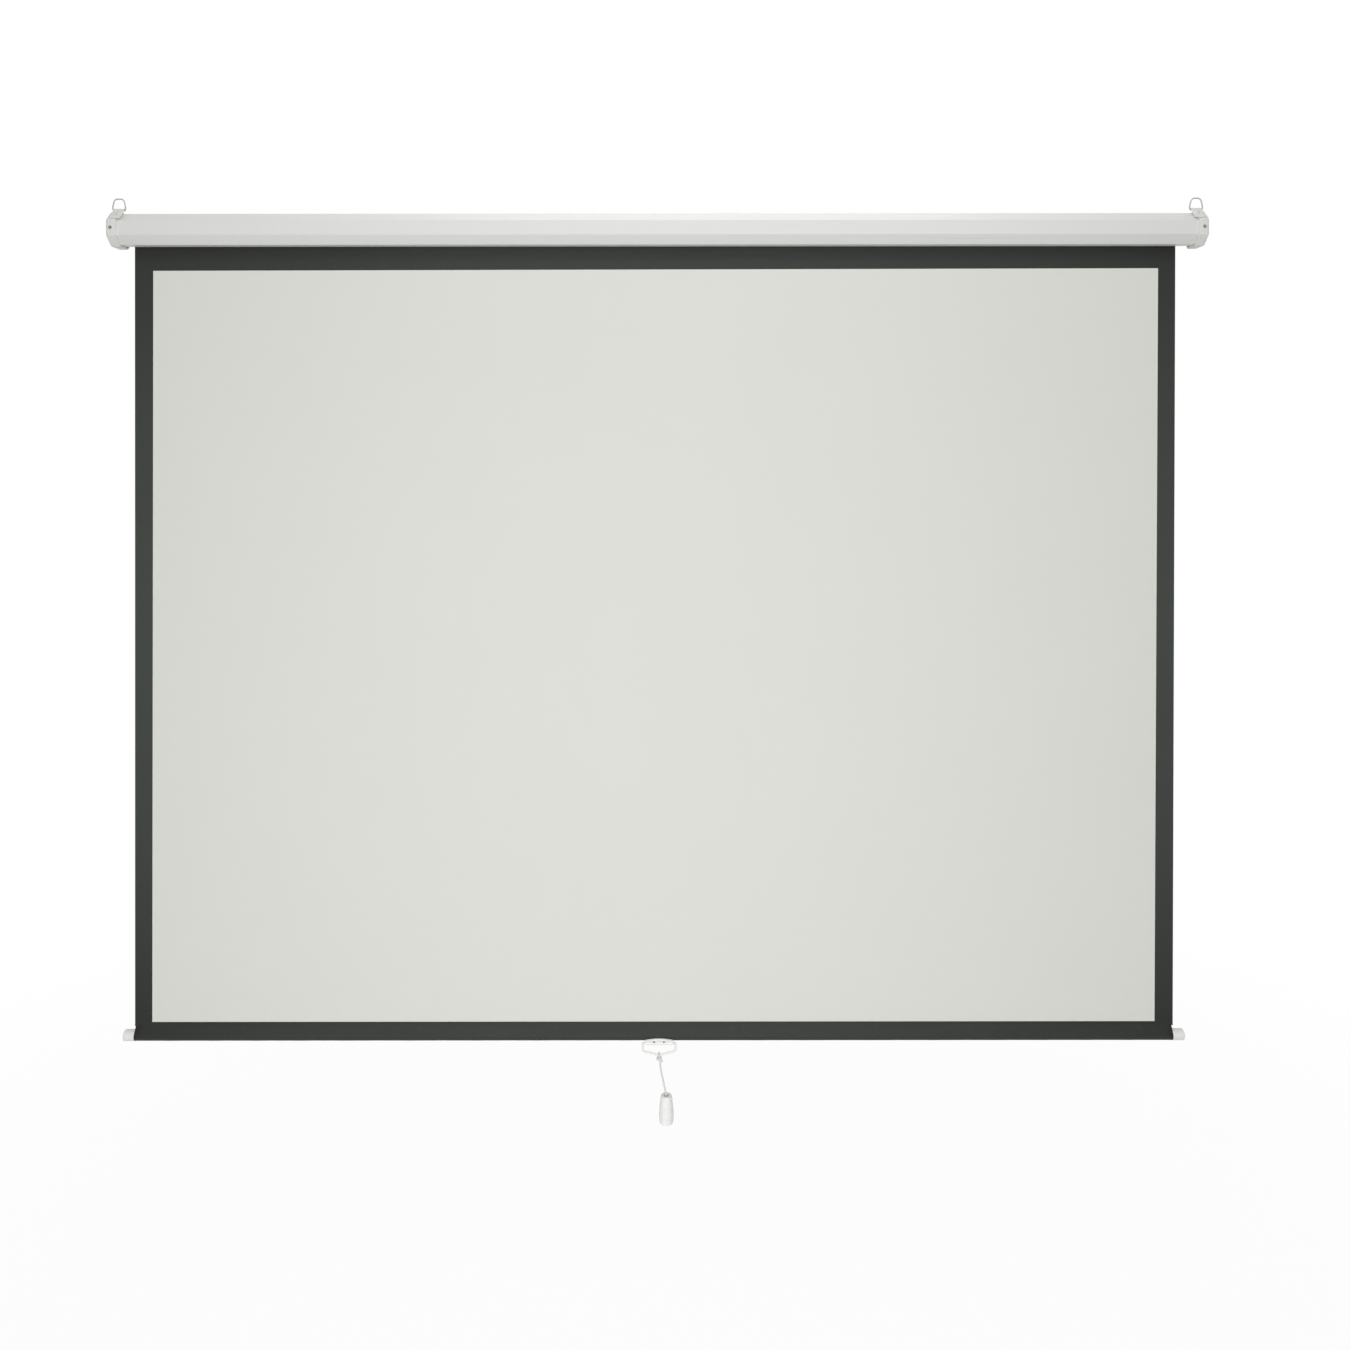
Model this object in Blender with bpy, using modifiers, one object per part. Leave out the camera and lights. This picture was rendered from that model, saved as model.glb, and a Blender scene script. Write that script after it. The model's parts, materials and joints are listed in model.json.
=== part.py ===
"""Pull down projector screen: a spring roller in an octagonal steel case, a 100 inch 4:3 screen,
a weighted bar and a pull handle with a cord and a grip.

Metres, +Z up. X runs along the case and Y towards the wall. The origin is the middle of the case's
flat back, level with the middle of the case. The screen is shown pulled right down.
"""

import math

import bmesh
import bpy
from mathutils import Matrix, Vector

# Clearance left between pieces that touch, and how far a cut runs past what it cuts
GAP = 0.0003
CUT = 0.005

# Screen
PICTURE_WIDTH = 2.032
PICTURE_HEIGHT = 1.524
SIDE_BORDER = 0.034
TOP_BORDER = 0.045
BOTTOM_BORDER = 0.013
BACKING_THICKNESS = 0.0005
SURFACE_THICKNESS = 0.0002

# Case, an octagonal section folded from sheet steel
CASE_SIZE = 0.062
CASE_CHAMFER = 0.017
CASE_WALL = 0.001
CASE_BEND = 0.0025
SLOT_WIDTH = 0.015
SLOT_SETBACK = 0.009
SLOT_HEM = 0.003
SLOT_BEND = 0.0012

# Room at each end, from the screen's edge to the outer face of the end cap
IDLER_ROOM = 0.0325
RATCHET_ROOM = 0.0475

# End caps
CAP_PROUD = 0.004
CAP_SKIRT = 0.020
CAP_PLATE = 0.003
CAP_BEND = 0.0028
CAP_ROUNDING = 0.005
CAP_LIP = 0.0008

# Bracket plates that carry the roller
BRACKET_PLATE = 0.002
BRACKET_INSET = 0.015
BRACKET_FLANGE = 0.011
BRACKET_FLANGE_HEIGHT = 0.020
BRACKET_RELIEF = 1.2

# Screws: head radius, head height, shank radius, shank length
CAP_SCREW = (0.0029, 0.0018, 0.0016, 0.0070)
HANGER_SCREW = (0.0026, 0.0015, 0.0014, 0.0070)
SADDLE_SCREW = (0.0023, 0.0011, 0.0011, 0.0060)

# Hangers: a plate with a rolled eye on the cap's upper chamfer, and a ring of wire in the eye
HANGER_WIDTH = 0.022
HANGER_INSET = 0.015
HANGER_PLATE = 0.0015
HANGER_LENGTH = 0.030
HANGER_SCREW_FROM_EYE = 0.0135
HANGER_REACH = 0.031
RING_WIRE = 0.0013
RING_BASE = 0.0266
RING_TOP = 0.0184
RING_HEIGHT = 0.022
RING_BASE_BEND = 0.0020
RING_TOP_BEND = 0.0078

# Roller
ROLLER_FORWARD = 0.036
TUBE_RADIUS = 0.017
TUBE_WALL = 0.0015
TUBE_MARGIN = 0.0025
SPARE_TURNS = 0.0008
PLUG_DEPTH = 0.026
FLANGE = 0.003

# Idler pin, and the bush that it turns in
PIN_RADIUS = 0.004
PIN_PAST_BRACKET = 0.006
BUSH_WALL = 0.0014
BUSH_COLLAR = 0.0023
BUSH_COLLAR_THICKNESS = 0.0017

# Spring shaft, its flat spear, and the spring round it
SHAFT_RADIUS = 0.004
SHAFT_LENGTH = 0.200
SPEAR_THICKNESS = 0.003
SPEAR_LENGTH = 0.018
SHAFT_BUSH_WALL = 0.0027
SHAFT_BUSH_LENGTH = 0.020
ANCHOR_RADIUS = 0.0102
ANCHOR_LENGTH = 0.018
SPRING_WIRE = 0.001
SPRING_TURNS = 24
SPRING_POINTS = 10

# Ratchet wheel and pawls, in the roller's end view, with the roller's axis at (0, 0)
RATCHET_RADIUS = 0.008
RATCHET_THICKNESS = 0.004
RATCHET_NOTCH = (
    (-0.00287, 0.0098),
    (-0.00032, 0.0054),
    (0.0006, 0.0054),
    (0.0050, 0.0076),
    (0.0050, 0.0098),
)
PAWL_PIVOT = (0.006, 0.011)
PAWL_OUTLINE = (
    (-0.0015, 0.00835),
    (0.0003, 0.0085),
    (0.0040, 0.0089),
    (0.0075, 0.0089),
    (0.0086, 0.0110),
    (0.0073, 0.0133),
    (0.0047, 0.0133),
    (-0.0010, 0.0105),
)
PAWL_THICKNESS = 0.003
PAWL_PLAY = 0.0004
PAWL_PIN = 0.0012
PAWL_PIN_HEAD = 0.0022
PAWL_PIN_DEPTH = 0.0020

# Weight bar in its hem pocket
BAR_RADIUS = 0.0095
BAR_WALL = 0.0012
POCKET_FABRIC = 0.0006
POCKET_SEAM = 0.0012
SEAM_DROP = 0.003
BAR_CAP_RADIUS = 0.011
BAR_CAP_LENGTH = 0.023
BAR_CAP_EDGE = 0.003
BAR_CAP_SPIGOT = 0.015

# Saddle under the bar, and the pull handle in it
HANDLE_SHIFT = 0.0085
SADDLE_LENGTH = 0.057
SADDLE_WALL = 0.0035
SADDLE_FROM = -178
SADDLE_TO = -60
SADDLE_SCREW_AT = -140
SADDLE_SCREW_SPREAD = 0.0101
SADDLE_BOSS = 0.0034
SADDLE_BOSS_SUNK = 0.0019
SADDLE_BOSS_AT = -107
SADDLE_TOP_LENGTH = 0.038
SADDLE_TOP_BEND = 0.012
SADDLE_SHOULDER_BEND = 0.006
HANDLE_WIDTH = 0.066
HANDLE_SIDE = 0.016
HANDLE_DROP = 0.0245
HANDLE_RADIUS = 0.0022
HANDLE_PIN = 0.006
HANDLE_BEND = 0.004

# Cord, its knots and the pull grip
CORD_RADIUS = 0.00175
KNOT_LOOP_PLAY = 0.0005
KNOT_SIZE = (0.005, 0.004, 0.0038)
CORD_SIDESTEP = 0.0020
CORD_SWAY = 0.0125
CORD_LENGTH_DOWN = 0.0825
CORD_POINTS = 12
GRIP_HEIGHT = 0.055
GRIP_TOP_RADIUS = 0.011
GRIP_FOOT_RADIUS = 0.0148
GRIP_WALL = 0.002
GRIP_EDGE = 0.0015
GRIP_MOUTH_RADIUS = 0.005
GRIP_MOUTH_DEPTH = 0.008
GRIP_WEB = 0.005
GRIP_HOLE = 0.0024
STOP_KNOT = (0.0044, 0.0044, 0.0038)

# Where the bar parks under the case when the screen is wound in
PARK_GAP = 0.0015

# Steps round turned and bent pieces
ROUND_STEPS = 32
SMALL_STEPS = 16

# Worked out from the sizes above
HALF_SIZE = CASE_SIZE / 2
CASE_MIDDLE = -HALF_SIZE
FLAT_HALF = HALF_SIZE - CASE_CHAMFER
OFFSET_TO_FLAT = math.tan(math.radians(22.5))
SCREEN_WIDTH = PICTURE_WIDTH + 2 * SIDE_BORDER
HALF_LENGTH = (IDLER_ROOM + SCREEN_WIDTH + RATCHET_ROOM) / 2
SCREEN_LEFT = -HALF_LENGTH + IDLER_ROOM
SCREEN_RIGHT = HALF_LENGTH - RATCHET_ROOM
SCREEN_MIDDLE = (SCREEN_LEFT + SCREEN_RIGHT) / 2
CAP_INSIDE = HALF_LENGTH - CAP_PLATE
SLOT_REAR = -SLOT_SETBACK
SLOT_FRONT = SLOT_REAR - SLOT_WIDTH
BRACKET_FACE = CAP_INSIDE - BRACKET_INSET
CAP_SCREW_AT = HALF_LENGTH - CAP_SKIRT / 2
HANGER_AT = HALF_LENGTH - HANGER_INSET

TUBE_LEFT = SCREEN_LEFT - TUBE_MARGIN
TUBE_RIGHT = SCREEN_RIGHT + TUBE_MARGIN
HEAD_FACE = TUBE_RIGHT + GAP + FLANGE
RATCHET_LOW = HEAD_FACE + PAWL_PLAY
ROLL_RADIUS = TUBE_RADIUS + GAP + SPARE_TURNS
ROLLER_Y = -ROLLER_FORWARD
SPRING_RADIUS = (ANCHOR_RADIUS + GAP + SPRING_WIRE) / math.cos(math.pi / SPRING_POINTS)
SHAFT_LOW = HEAD_FACE - SHAFT_LENGTH
SPEAR_HIGH = BRACKET_FACE + PIN_PAST_BRACKET
SPEAR_LOW = SPEAR_HIGH - SPEAR_LENGTH

SHEET_Y = ROLLER_Y + ROLL_RADIUS + GAP + BACKING_THICKNESS / 2
PICTURE_TOP = -HALF_SIZE - TOP_BORDER
PICTURE_BOTTOM = PICTURE_TOP - PICTURE_HEIGHT
BACKING_END = PICTURE_BOTTOM - SEAM_DROP
POCKET_RADIUS = BAR_RADIUS + GAP + POCKET_FABRIC
BAR_Z = PICTURE_BOTTOM - BOTTOM_BORDER - POCKET_RADIUS
BAR_PARKED_Z = -HALF_SIZE - CAP_PROUD - PARK_GAP - BAR_CAP_RADIUS
TRAVEL = BAR_PARKED_Z - BAR_Z

HANDLE_X = SCREEN_MIDDLE + HANDLE_SHIFT
SADDLE_INSIDE = POCKET_RADIUS + GAP
BOSS_DISTANCE = SADDLE_INSIDE + SADDLE_WALL + SADDLE_BOSS - SADDLE_BOSS_SUNK
HANDLE_Y = SHEET_Y + BOSS_DISTANCE * math.cos(math.radians(SADDLE_BOSS_AT))
HANDLE_Z = BAR_Z + BOSS_DISTANCE * math.sin(math.radians(SADDLE_BOSS_AT))
CORD_Z = HANDLE_Z - HANDLE_DROP
KNOT_LOOP = HANDLE_RADIUS + KNOT_LOOP_PLAY
KNOT_DROP = KNOT_LOOP + GAP + KNOT_SIZE[2]
CORD_START = KNOT_DROP + KNOT_SIZE[2] + GAP
CORD_END = CORD_START + CORD_LENGTH_DOWN
GRIP_X = HANDLE_X + CORD_SIDESTEP + CORD_SWAY
GRIP_TOP = CORD_END - GRIP_MOUTH_DEPTH - GRIP_WEB

# Colour, roughness and metallic value of each finish
FINISHES = {
    "case_enamel": ((0.70, 0.70, 0.69), 0.42, 0.0),
    "cap_plastic": ((0.72, 0.72, 0.70), 0.50, 0.0),
    "black_screw": ((0.02, 0.02, 0.02), 0.40, 0.6),
    "bright_steel": ((0.62, 0.62, 0.62), 0.28, 1.0),
    "zinc_plate": ((0.66, 0.66, 0.63), 0.38, 0.9),
    "spring_steel": ((0.30, 0.30, 0.31), 0.35, 1.0),
    "nylon": ((0.86, 0.85, 0.80), 0.45, 0.0),
    "screen_white": ((0.82, 0.82, 0.81), 0.85, 0.0),
    "screen_black": ((0.03, 0.03, 0.03), 0.75, 0.0),
    "white_plastic": ((0.80, 0.80, 0.78), 0.35, 0.0),
    "cord_white": ((0.82, 0.82, 0.80), 0.80, 0.0),
}


def clear_scene():
    for item in list(bpy.data.objects):
        bpy.data.objects.remove(item, do_unlink=True)


def collection(name):
    found = bpy.data.collections.get(name)
    if found is None:
        found = bpy.data.collections.new(name)
        bpy.context.scene.collection.children.link(found)
    return found


def finish(name):
    """The material of that name, made the first time that it is asked for."""
    found = bpy.data.materials.get(name)
    if found is None:
        colour, roughness, metallic = FINISHES[name]
        found = bpy.data.materials.new(name)
        found.use_nodes = True
        shader = found.node_tree.nodes["Principled BSDF"]
        shader.inputs["Base Color"].default_value = (*colour, 1)
        shader.inputs["Roughness"].default_value = roughness
        shader.inputs["Metallic"].default_value = metallic
        found.diffuse_color = (*colour, 1)
    return found


def add(name, data, look):
    """A new part with that mesh or curve."""
    part = bpy.data.objects.new(name, data)
    data.materials.append(finish(look))
    collection("projector_screen").objects.link(part)
    return part


def as_cutter(part):
    """Turns a part into a tool for Boolean cuts."""
    collection("projector_screen").objects.unlink(part)
    collection("cutters").objects.link(part)
    part.hide_render = True
    part.display_type = "WIRE"
    return part


def boolean(part, operation, tool):
    change = part.modifiers.new(tool.name, "BOOLEAN")
    change.operation = operation
    change.solver = "EXACT"
    change.object = as_cutter(tool)


def smooth(part, angle=35):
    """Smooth shading, with creases sharper than the angle left sharp."""
    part.data.shade_smooth()
    part.data.set_sharp_from_angle(angle=math.radians(angle))
    return part


def pivot(name, place):
    """An empty on a joint's axis, which carries a moving piece."""
    empty = bpy.data.objects.new(name, None)
    empty.location = place
    empty.empty_display_size = 0.02
    collection("projector_screen").objects.link(empty)
    return empty


def carry(empty, *parts):
    """Parents the parts to the empty and leaves them where they are."""
    for part in parts:
        part.parent = empty
        part.matrix_parent_inverse = Matrix.Translation(-empty.location)


def arc(centre, radius, start, end, steps):
    """Points along an arc, with its angles in degrees."""
    angles = [math.radians(start + (end - start) * i / steps) for i in range(steps + 1)]
    return [(centre[0] + radius * math.cos(a), centre[1] + radius * math.sin(a)) for a in angles]


def rounded(points, radius, steps=3, closed=True):
    """The outline with its corners turned into arcs of that radius, or of one radius each."""
    corners = [Vector(p) for p in points]
    radii = radius if isinstance(radius, (list, tuple)) else [radius] * len(corners)
    out = []
    for i, corner in enumerate(corners):
        ends = not closed and i in (0, len(corners) - 1)
        if ends or radii[i] == 0:
            out.append(tuple(corner))
            continue
        back = (corners[i - 1] - corner).normalized()
        ahead = (corners[(i + 1) % len(corners)] - corner).normalized()
        half = back.angle(ahead) / 2
        start = corner + back * radii[i] / math.tan(half)
        end = corner + ahead * radii[i] / math.tan(half)
        middle = corner + (back + ahead).normalized() * radii[i] / math.sin(half)
        for k in range(steps + 1):
            spoke = (start - middle).slerp(end - middle, k / steps)
            out.append(tuple(middle + spoke * radii[i]))
    return out


def octagon(offset):
    """The case's outline in (y, z), moved outwards: lower rear corner first, then forwards and round."""
    h = HALF_SIZE + offset
    f = FLAT_HALF + offset * OFFSET_TO_FLAT
    corners = [(f, -h), (-f, -h), (-h, -f), (-h, f), (-f, h), (f, h), (h, f), (h, -f)]
    return [(CASE_MIDDLE + y, z) for y, z in corners]


def flat_curve(name, loops, half_depth, look):
    """A filled flat outline, with holes for the loops after the first."""
    data = bpy.data.curves.new(name, "CURVE")
    data.dimensions = "2D"
    data.fill_mode = "BOTH"
    data.extrude = half_depth
    for loop in loops:
        spline = data.splines.new("POLY")
        spline.points.add(len(loop) - 1)
        for point, (u, v) in zip(spline.points, loop):
            point.co = (u, v, 0, 1)
        spline.use_cyclic_u = True
    return add(name, data, look)


def to_mesh(part):
    """Replaces a curve by its mesh, with its caps welded on and its flat faces in one piece."""
    bpy.context.view_layer.update()
    graph = bpy.context.evaluated_depsgraph_get()
    mesh = bpy.data.meshes.new_from_object(part.evaluated_get(graph))
    welded = bmesh.new()
    welded.from_mesh(mesh)
    bmesh.ops.remove_doubles(welded, verts=welded.verts, dist=1e-6)
    bmesh.ops.dissolve_limit(welded, angle_limit=0.001, verts=welded.verts, edges=welded.edges)
    welded.to_mesh(mesh)
    welded.free()
    place = part.matrix_world.copy()
    name = part.name
    look = part.data.materials[0].name
    bpy.data.objects.remove(part, do_unlink=True)
    mesh.materials.clear()
    solid = add(name, mesh, look)
    solid.matrix_world = place
    return solid


def prism(name, loops, low, high, look):
    """Outlines in (y, z) drawn out along X from low to high."""
    part = flat_curve(name, loops, (high - low) / 2, look)
    part.rotation_euler = (math.pi / 2, 0, math.pi / 2)
    part.location = ((low + high) / 2, 0, 0)
    return to_mesh(part)


def front_prism(name, loop, low, high, look):
    """An outline in (x, z) drawn out along Y from low to high."""
    part = flat_curve(name, [loop], (high - low) / 2, look)
    part.rotation_euler = (math.pi / 2, 0, 0)
    part.location = (0, (low + high) / 2, 0)
    return to_mesh(part)


def turned(name, profile, place, tilt, look, closed=False, steps=ROUND_STEPS):
    """A profile of (radius, height) turned round its own Z axis, then tilted and placed."""
    mesh = bpy.data.meshes.new(name)
    count = len(profile)
    edges = [(i, i + 1) for i in range(count - 1)]
    if closed:
        edges.append((count - 1, 0))
    mesh.from_pydata([(r, 0, h) for r, h in profile], edges, [])
    part = add(name, mesh, look)
    part.location = place
    part.rotation_euler = tilt
    screw = part.modifiers.new("turn", "SCREW")
    screw.axis = "Z"
    screw.angle = math.tau
    screw.steps = steps
    screw.render_steps = steps
    screw.use_merge_vertices = True
    screw.merge_threshold = 1e-5
    screw.use_smooth_shade = True
    return part


ALONG_X = (0, math.pi / 2, 0)
TO_FRONT = (math.pi / 2, 0, 0)
TO_UPPER_FRONT = (math.pi / 4, 0, 0)
UPRIGHT = (0, 0, 0)


def least_gap(points, radius, apart):
    """The least gap between stretches of one wire that lie more than that many points apart."""
    places = [Vector(p) for p in points]
    gaps = [(a - b).length for i, a in enumerate(places) for b in places[i + apart:]]
    return min(gaps) - 2 * radius


def ring(inner, outer, low, high):
    """The profile of a plain ring, its outer side first."""
    return [(outer, high), (outer, low), (inner, low), (inner, high)]


def rod(radius, low, high):
    """The profile of a plain rod."""
    return [(0, high), (radius, high), (radius, low), (0, low)]


def hole(name, place, tilt, radius, length, steps=SMALL_STEPS):
    """A drill through a piece, centred on the place."""
    return turned(name, rod(radius, -length / 2, length / 2), place, tilt, "nylon", steps=steps)


def wire(name, points, radius, look, closed=False, resolution=2):
    """A round wire through the points."""
    data = bpy.data.curves.new(name, "CURVE")
    data.dimensions = "3D"
    data.bevel_depth = radius
    data.bevel_resolution = resolution
    data.use_fill_caps = not closed
    spline = data.splines.new("POLY")
    spline.points.add(len(points) - 1)
    for point, place in zip(spline.points, points):
        point.co = (*place, 1)
    spline.use_cyclic_u = closed
    spline.use_smooth = True
    return add(name, data, look)


def screw(name, size, place, tilt):
    """A pan head screw, with the underside of its head at the place and its head along local +Z."""
    head, height, shank, length = size
    profile = [
        (0, height),
        (0.55 * head, 0.92 * height),
        (0.9 * head, 0.6 * height),
        (head, 0.25 * height),
        (head, 0),
        (shank, 0),
        (shank, -length),
        (0, -length),
    ]
    return turned(name, profile, place, tilt, "black_screw", steps=SMALL_STEPS)


def keyhole(centre, radius, direction, reach, thickness, steps=24):
    """A circle with a straight tail: its outline, with the tail's direction in degrees."""
    spread = math.degrees(math.asin(thickness / 2 / radius))
    points = arc(centre, radius, direction + spread, direction + 360 - spread, steps)
    along = Vector((math.cos(math.radians(direction)), math.sin(math.radians(direction))))
    across = Vector((-along.y, along.x)) * thickness / 2
    tip = Vector(centre) + along * reach
    return points + [tuple(tip - across), tuple(tip + across)]


def chamfer_point(reach, out):
    """A point on the caps' upper front chamfer: reach up its slope from the crease, out from its face."""
    _, _, _, crease, *_ = octagon(CAP_PROUD)
    slope = math.sqrt(0.5)
    return crease[0] + (reach - out) * slope, crease[1] + (reach + out) * slope


def case_shell():
    lower = octagon(0)
    hem = SLOT_HEM * math.sqrt(0.5)
    rear_drop = lower[7][1] + (SLOT_REAR - lower[7][0])
    outline = [(SLOT_FRONT, -HALF_SIZE + SLOT_HEM), (SLOT_FRONT, -HALF_SIZE)]
    outline += lower[1:]
    outline += [(SLOT_REAR, rear_drop), (SLOT_REAR - hem, rear_drop + hem)]
    bends = [0, SLOT_BEND] + [CASE_BEND] * 7 + [SLOT_BEND, 0]
    outline = rounded(outline, bends, closed=False)
    half = CAP_INSIDE - GAP
    mesh = bpy.data.meshes.new("case_shell")
    sheet = bmesh.new()
    row = [sheet.verts.new((-half, y, z)) for y, z in outline]
    edges = [sheet.edges.new(pair) for pair in zip(row, row[1:])]
    drawn = bmesh.ops.extrude_edge_only(sheet, edges=edges)["geom"]
    moved = [v for v in drawn if isinstance(v, bmesh.types.BMVert)]
    bmesh.ops.translate(sheet, verts=moved, vec=(2 * half, 0, 0))
    sheet.normal_update()
    front = max(sheet.faces, key=lambda face: abs(face.normal.y) * face.calc_area())
    middle = Vector((0, CASE_MIDDLE, 0))
    if front.normal.dot(front.calc_center_median() - middle) < 0:
        bmesh.ops.reverse_faces(sheet, faces=sheet.faces)
    sheet.to_mesh(mesh)
    sheet.free()
    shell = add("case_shell", mesh, "case_enamel")
    thicken = shell.modifiers.new("wall", "SOLIDIFY")
    thicken.thickness = CASE_WALL
    thicken.offset = -1
    thicken.use_even_offset = True
    for side, sign in (("left", -1), ("right", 1)):
        boolean(shell, "DIFFERENCE", cap_screw_hole(f"case_screw_hole_{side}", sign))
        boolean(shell, "DIFFERENCE", hanger_screw_hole(f"case_hanger_hole_{side}", sign))
    return smooth(shell)


def cap_screw_hole(name, sign):
    place = (sign * CAP_SCREW_AT, CASE_MIDDLE - HALF_SIZE, 0)
    return hole(name, place, TO_FRONT, CAP_SCREW[2] + GAP, 2 * (CAP_PROUD + CUT))


def hanger_screw_hole(name, sign):
    y, z = chamfer_point(HANGER_REACH - HANGER_SCREW_FROM_EYE, 0)
    length = 2 * (CAP_PROUD + CUT)
    return hole(name, (sign * HANGER_AT, y, z), TO_UPPER_FRONT, HANGER_SCREW[2] + GAP, length)


def cap_outline(offset):
    """The cap's outline, which stops at the case's back where it would stand behind it."""
    outline = octagon(offset)
    if offset > 0:
        back = outline[6][1] + offset
        outline[6] = (0, back)
        outline[7] = (0, -back)
    return rounded(outline, [CAP_BEND] * 6 + [0, 0])


def loft(name, sections, look):
    """A solid skin over like outlines in (y, z), each at its own x."""
    mesh = bpy.data.meshes.new(name)
    skin = bmesh.new()
    rings = []
    for x, outline in sections:
        ring_verts = [skin.verts.new((x, y, z)) for y, z in outline]
        rings.append([skin.edges.new(pair) for pair in zip(ring_verts, ring_verts[1:] + ring_verts[:1])])
    for before, after in zip(rings, rings[1:]):
        bmesh.ops.bridge_loops(skin, edges=before + after)
    for end in (rings[0], rings[-1]):
        bmesh.ops.contextual_create(skin, geom=end)
    bmesh.ops.recalc_face_normals(skin, faces=skin.faces)
    skin.to_mesh(mesh)
    skin.free()
    return add(name, mesh, look)


def end_cap(side, sign):
    """An octagonal cup with a rounded end, proud of the case all round but flush with its back."""
    start = HALF_LENGTH - CAP_SKIRT
    sections = [(start, CAP_PROUD - CAP_LIP), (start + CAP_LIP, CAP_PROUD)]
    for degrees in (0, 30, 60, 90):
        turn = math.radians(degrees)
        x = HALF_LENGTH - CAP_ROUNDING * (1 - math.sin(turn))
        sections.append((x, CAP_PROUD - CAP_ROUNDING * (1 - math.cos(turn))))
    cap = loft(f"end_cap_{side}", [(sign * x, cap_outline(offset)) for x, offset in sections], "cap_plastic")
    low, high = sorted((sign * (HALF_LENGTH - CAP_SKIRT - CUT), sign * CAP_INSIDE))
    boolean(cap, "DIFFERENCE", prism(f"cap_pocket_{side}", [octagon(GAP)], low, high, "nylon"))
    boolean(cap, "DIFFERENCE", cap_screw_hole(f"cap_screw_hole_{side}", sign))
    boolean(cap, "DIFFERENCE", hanger_screw_hole(f"cap_hanger_hole_{side}", sign))
    smooth(cap)
    place = (sign * CAP_SCREW_AT, CASE_MIDDLE - HALF_SIZE - CAP_PROUD - GAP, 0)
    screw(f"cap_screw_{side}", CAP_SCREW, place, TO_FRONT)


def bracket(side, sign):
    """A plate across the case with a flange that the cap's screw holds against the case's front."""
    inside = octagon(-CASE_WALL - GAP)
    outline = list(inside)
    relief = SLOT_HEM * BRACKET_RELIEF
    outline[0] = (SLOT_FRONT - CASE_WALL - relief, inside[0][1])
    outline[7] = (inside[7][0], inside[7][1] + relief)
    low, high = sorted((sign * (BRACKET_FACE - BRACKET_PLATE), sign * BRACKET_FACE))
    plate = prism(f"roller_bracket_{side}", [outline], low, high, "zinc_plate")
    front = inside[2][0]
    tall = BRACKET_FLANGE_HEIGHT / 2
    flange = [(front, -tall), (front + BRACKET_PLATE, -tall), (front + BRACKET_PLATE, tall), (front, tall)]
    low, high = sorted((sign * (BRACKET_FACE - BRACKET_PLATE / 2), sign * (BRACKET_FACE + BRACKET_FLANGE)))
    boolean(plate, "UNION", prism(f"bracket_flange_{side}", [flange], low, high, "zinc_plate"))
    boolean(plate, "DIFFERENCE", cap_screw_hole(f"bracket_screw_hole_{side}", sign))
    middle = (sign * (BRACKET_FACE - BRACKET_PLATE / 2), ROLLER_Y, 0)
    if side == "left":
        size = PIN_RADIUS + GAP + BUSH_WALL + GAP
        boolean(plate, "DIFFERENCE", hole("bush_seat", middle, ALONG_X, size, 2 * CUT, ROUND_STEPS))
    else:
        tall = SHAFT_RADIUS + GAP
        wide = SPEAR_THICKNESS / 2 + GAP
        slot = [
            (ROLLER_Y - wide, -tall),
            (ROLLER_Y + wide, -tall),
            (ROLLER_Y + wide, tall),
            (ROLLER_Y - wide, tall),
        ]
        low = BRACKET_FACE - BRACKET_PLATE - CUT
        high = BRACKET_FACE + CUT
        boolean(plate, "DIFFERENCE", prism("spear_slot", [slot], low, high, "nylon"))


def hanger(side, sign):
    """The plate with its rolled eye, its screw, and the wire ring that stands in the eye."""
    eye_wall = HANGER_PLATE
    eye_hole = RING_WIRE + GAP
    out = GAP + HANGER_PLATE / 2
    eye = chamfer_point(HANGER_REACH, out)
    outline = keyhole(eye, eye_hole + eye_wall, -135, HANGER_LENGTH, HANGER_PLATE)
    opening = arc(eye, eye_hole, 0, 330, 11)
    low = sign * HANGER_AT - HANGER_WIDTH / 2
    high = sign * HANGER_AT + HANGER_WIDTH / 2
    plate = prism(f"hanger_plate_{side}", [outline, opening], low, high, "zinc_plate")
    boolean(plate, "DIFFERENCE", hanger_screw_hole(f"plate_hole_{side}", sign))
    smooth(plate)
    y, z = chamfer_point(HANGER_REACH - HANGER_SCREW_FROM_EYE, GAP + HANGER_PLATE + GAP)
    screw(f"hanger_screw_{side}", HANGER_SCREW, (sign * HANGER_AT, y, z), TO_UPPER_FRONT)
    corners = [
        (-RING_BASE / 2, 0),
        (RING_BASE / 2, 0),
        (RING_TOP / 2, RING_HEIGHT),
        (-RING_TOP / 2, RING_HEIGHT),
    ]
    bends = [RING_BASE_BEND, RING_BASE_BEND, RING_TOP_BEND, RING_TOP_BEND]
    loop = [(x, 0, z) for x, z in rounded(corners, bends, steps=5)]
    loop_ring = wire(f"hanger_ring_{side}", loop, RING_WIRE, "bright_steel", closed=True)
    loop_ring.location = (sign * HANGER_AT, *eye)


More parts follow.
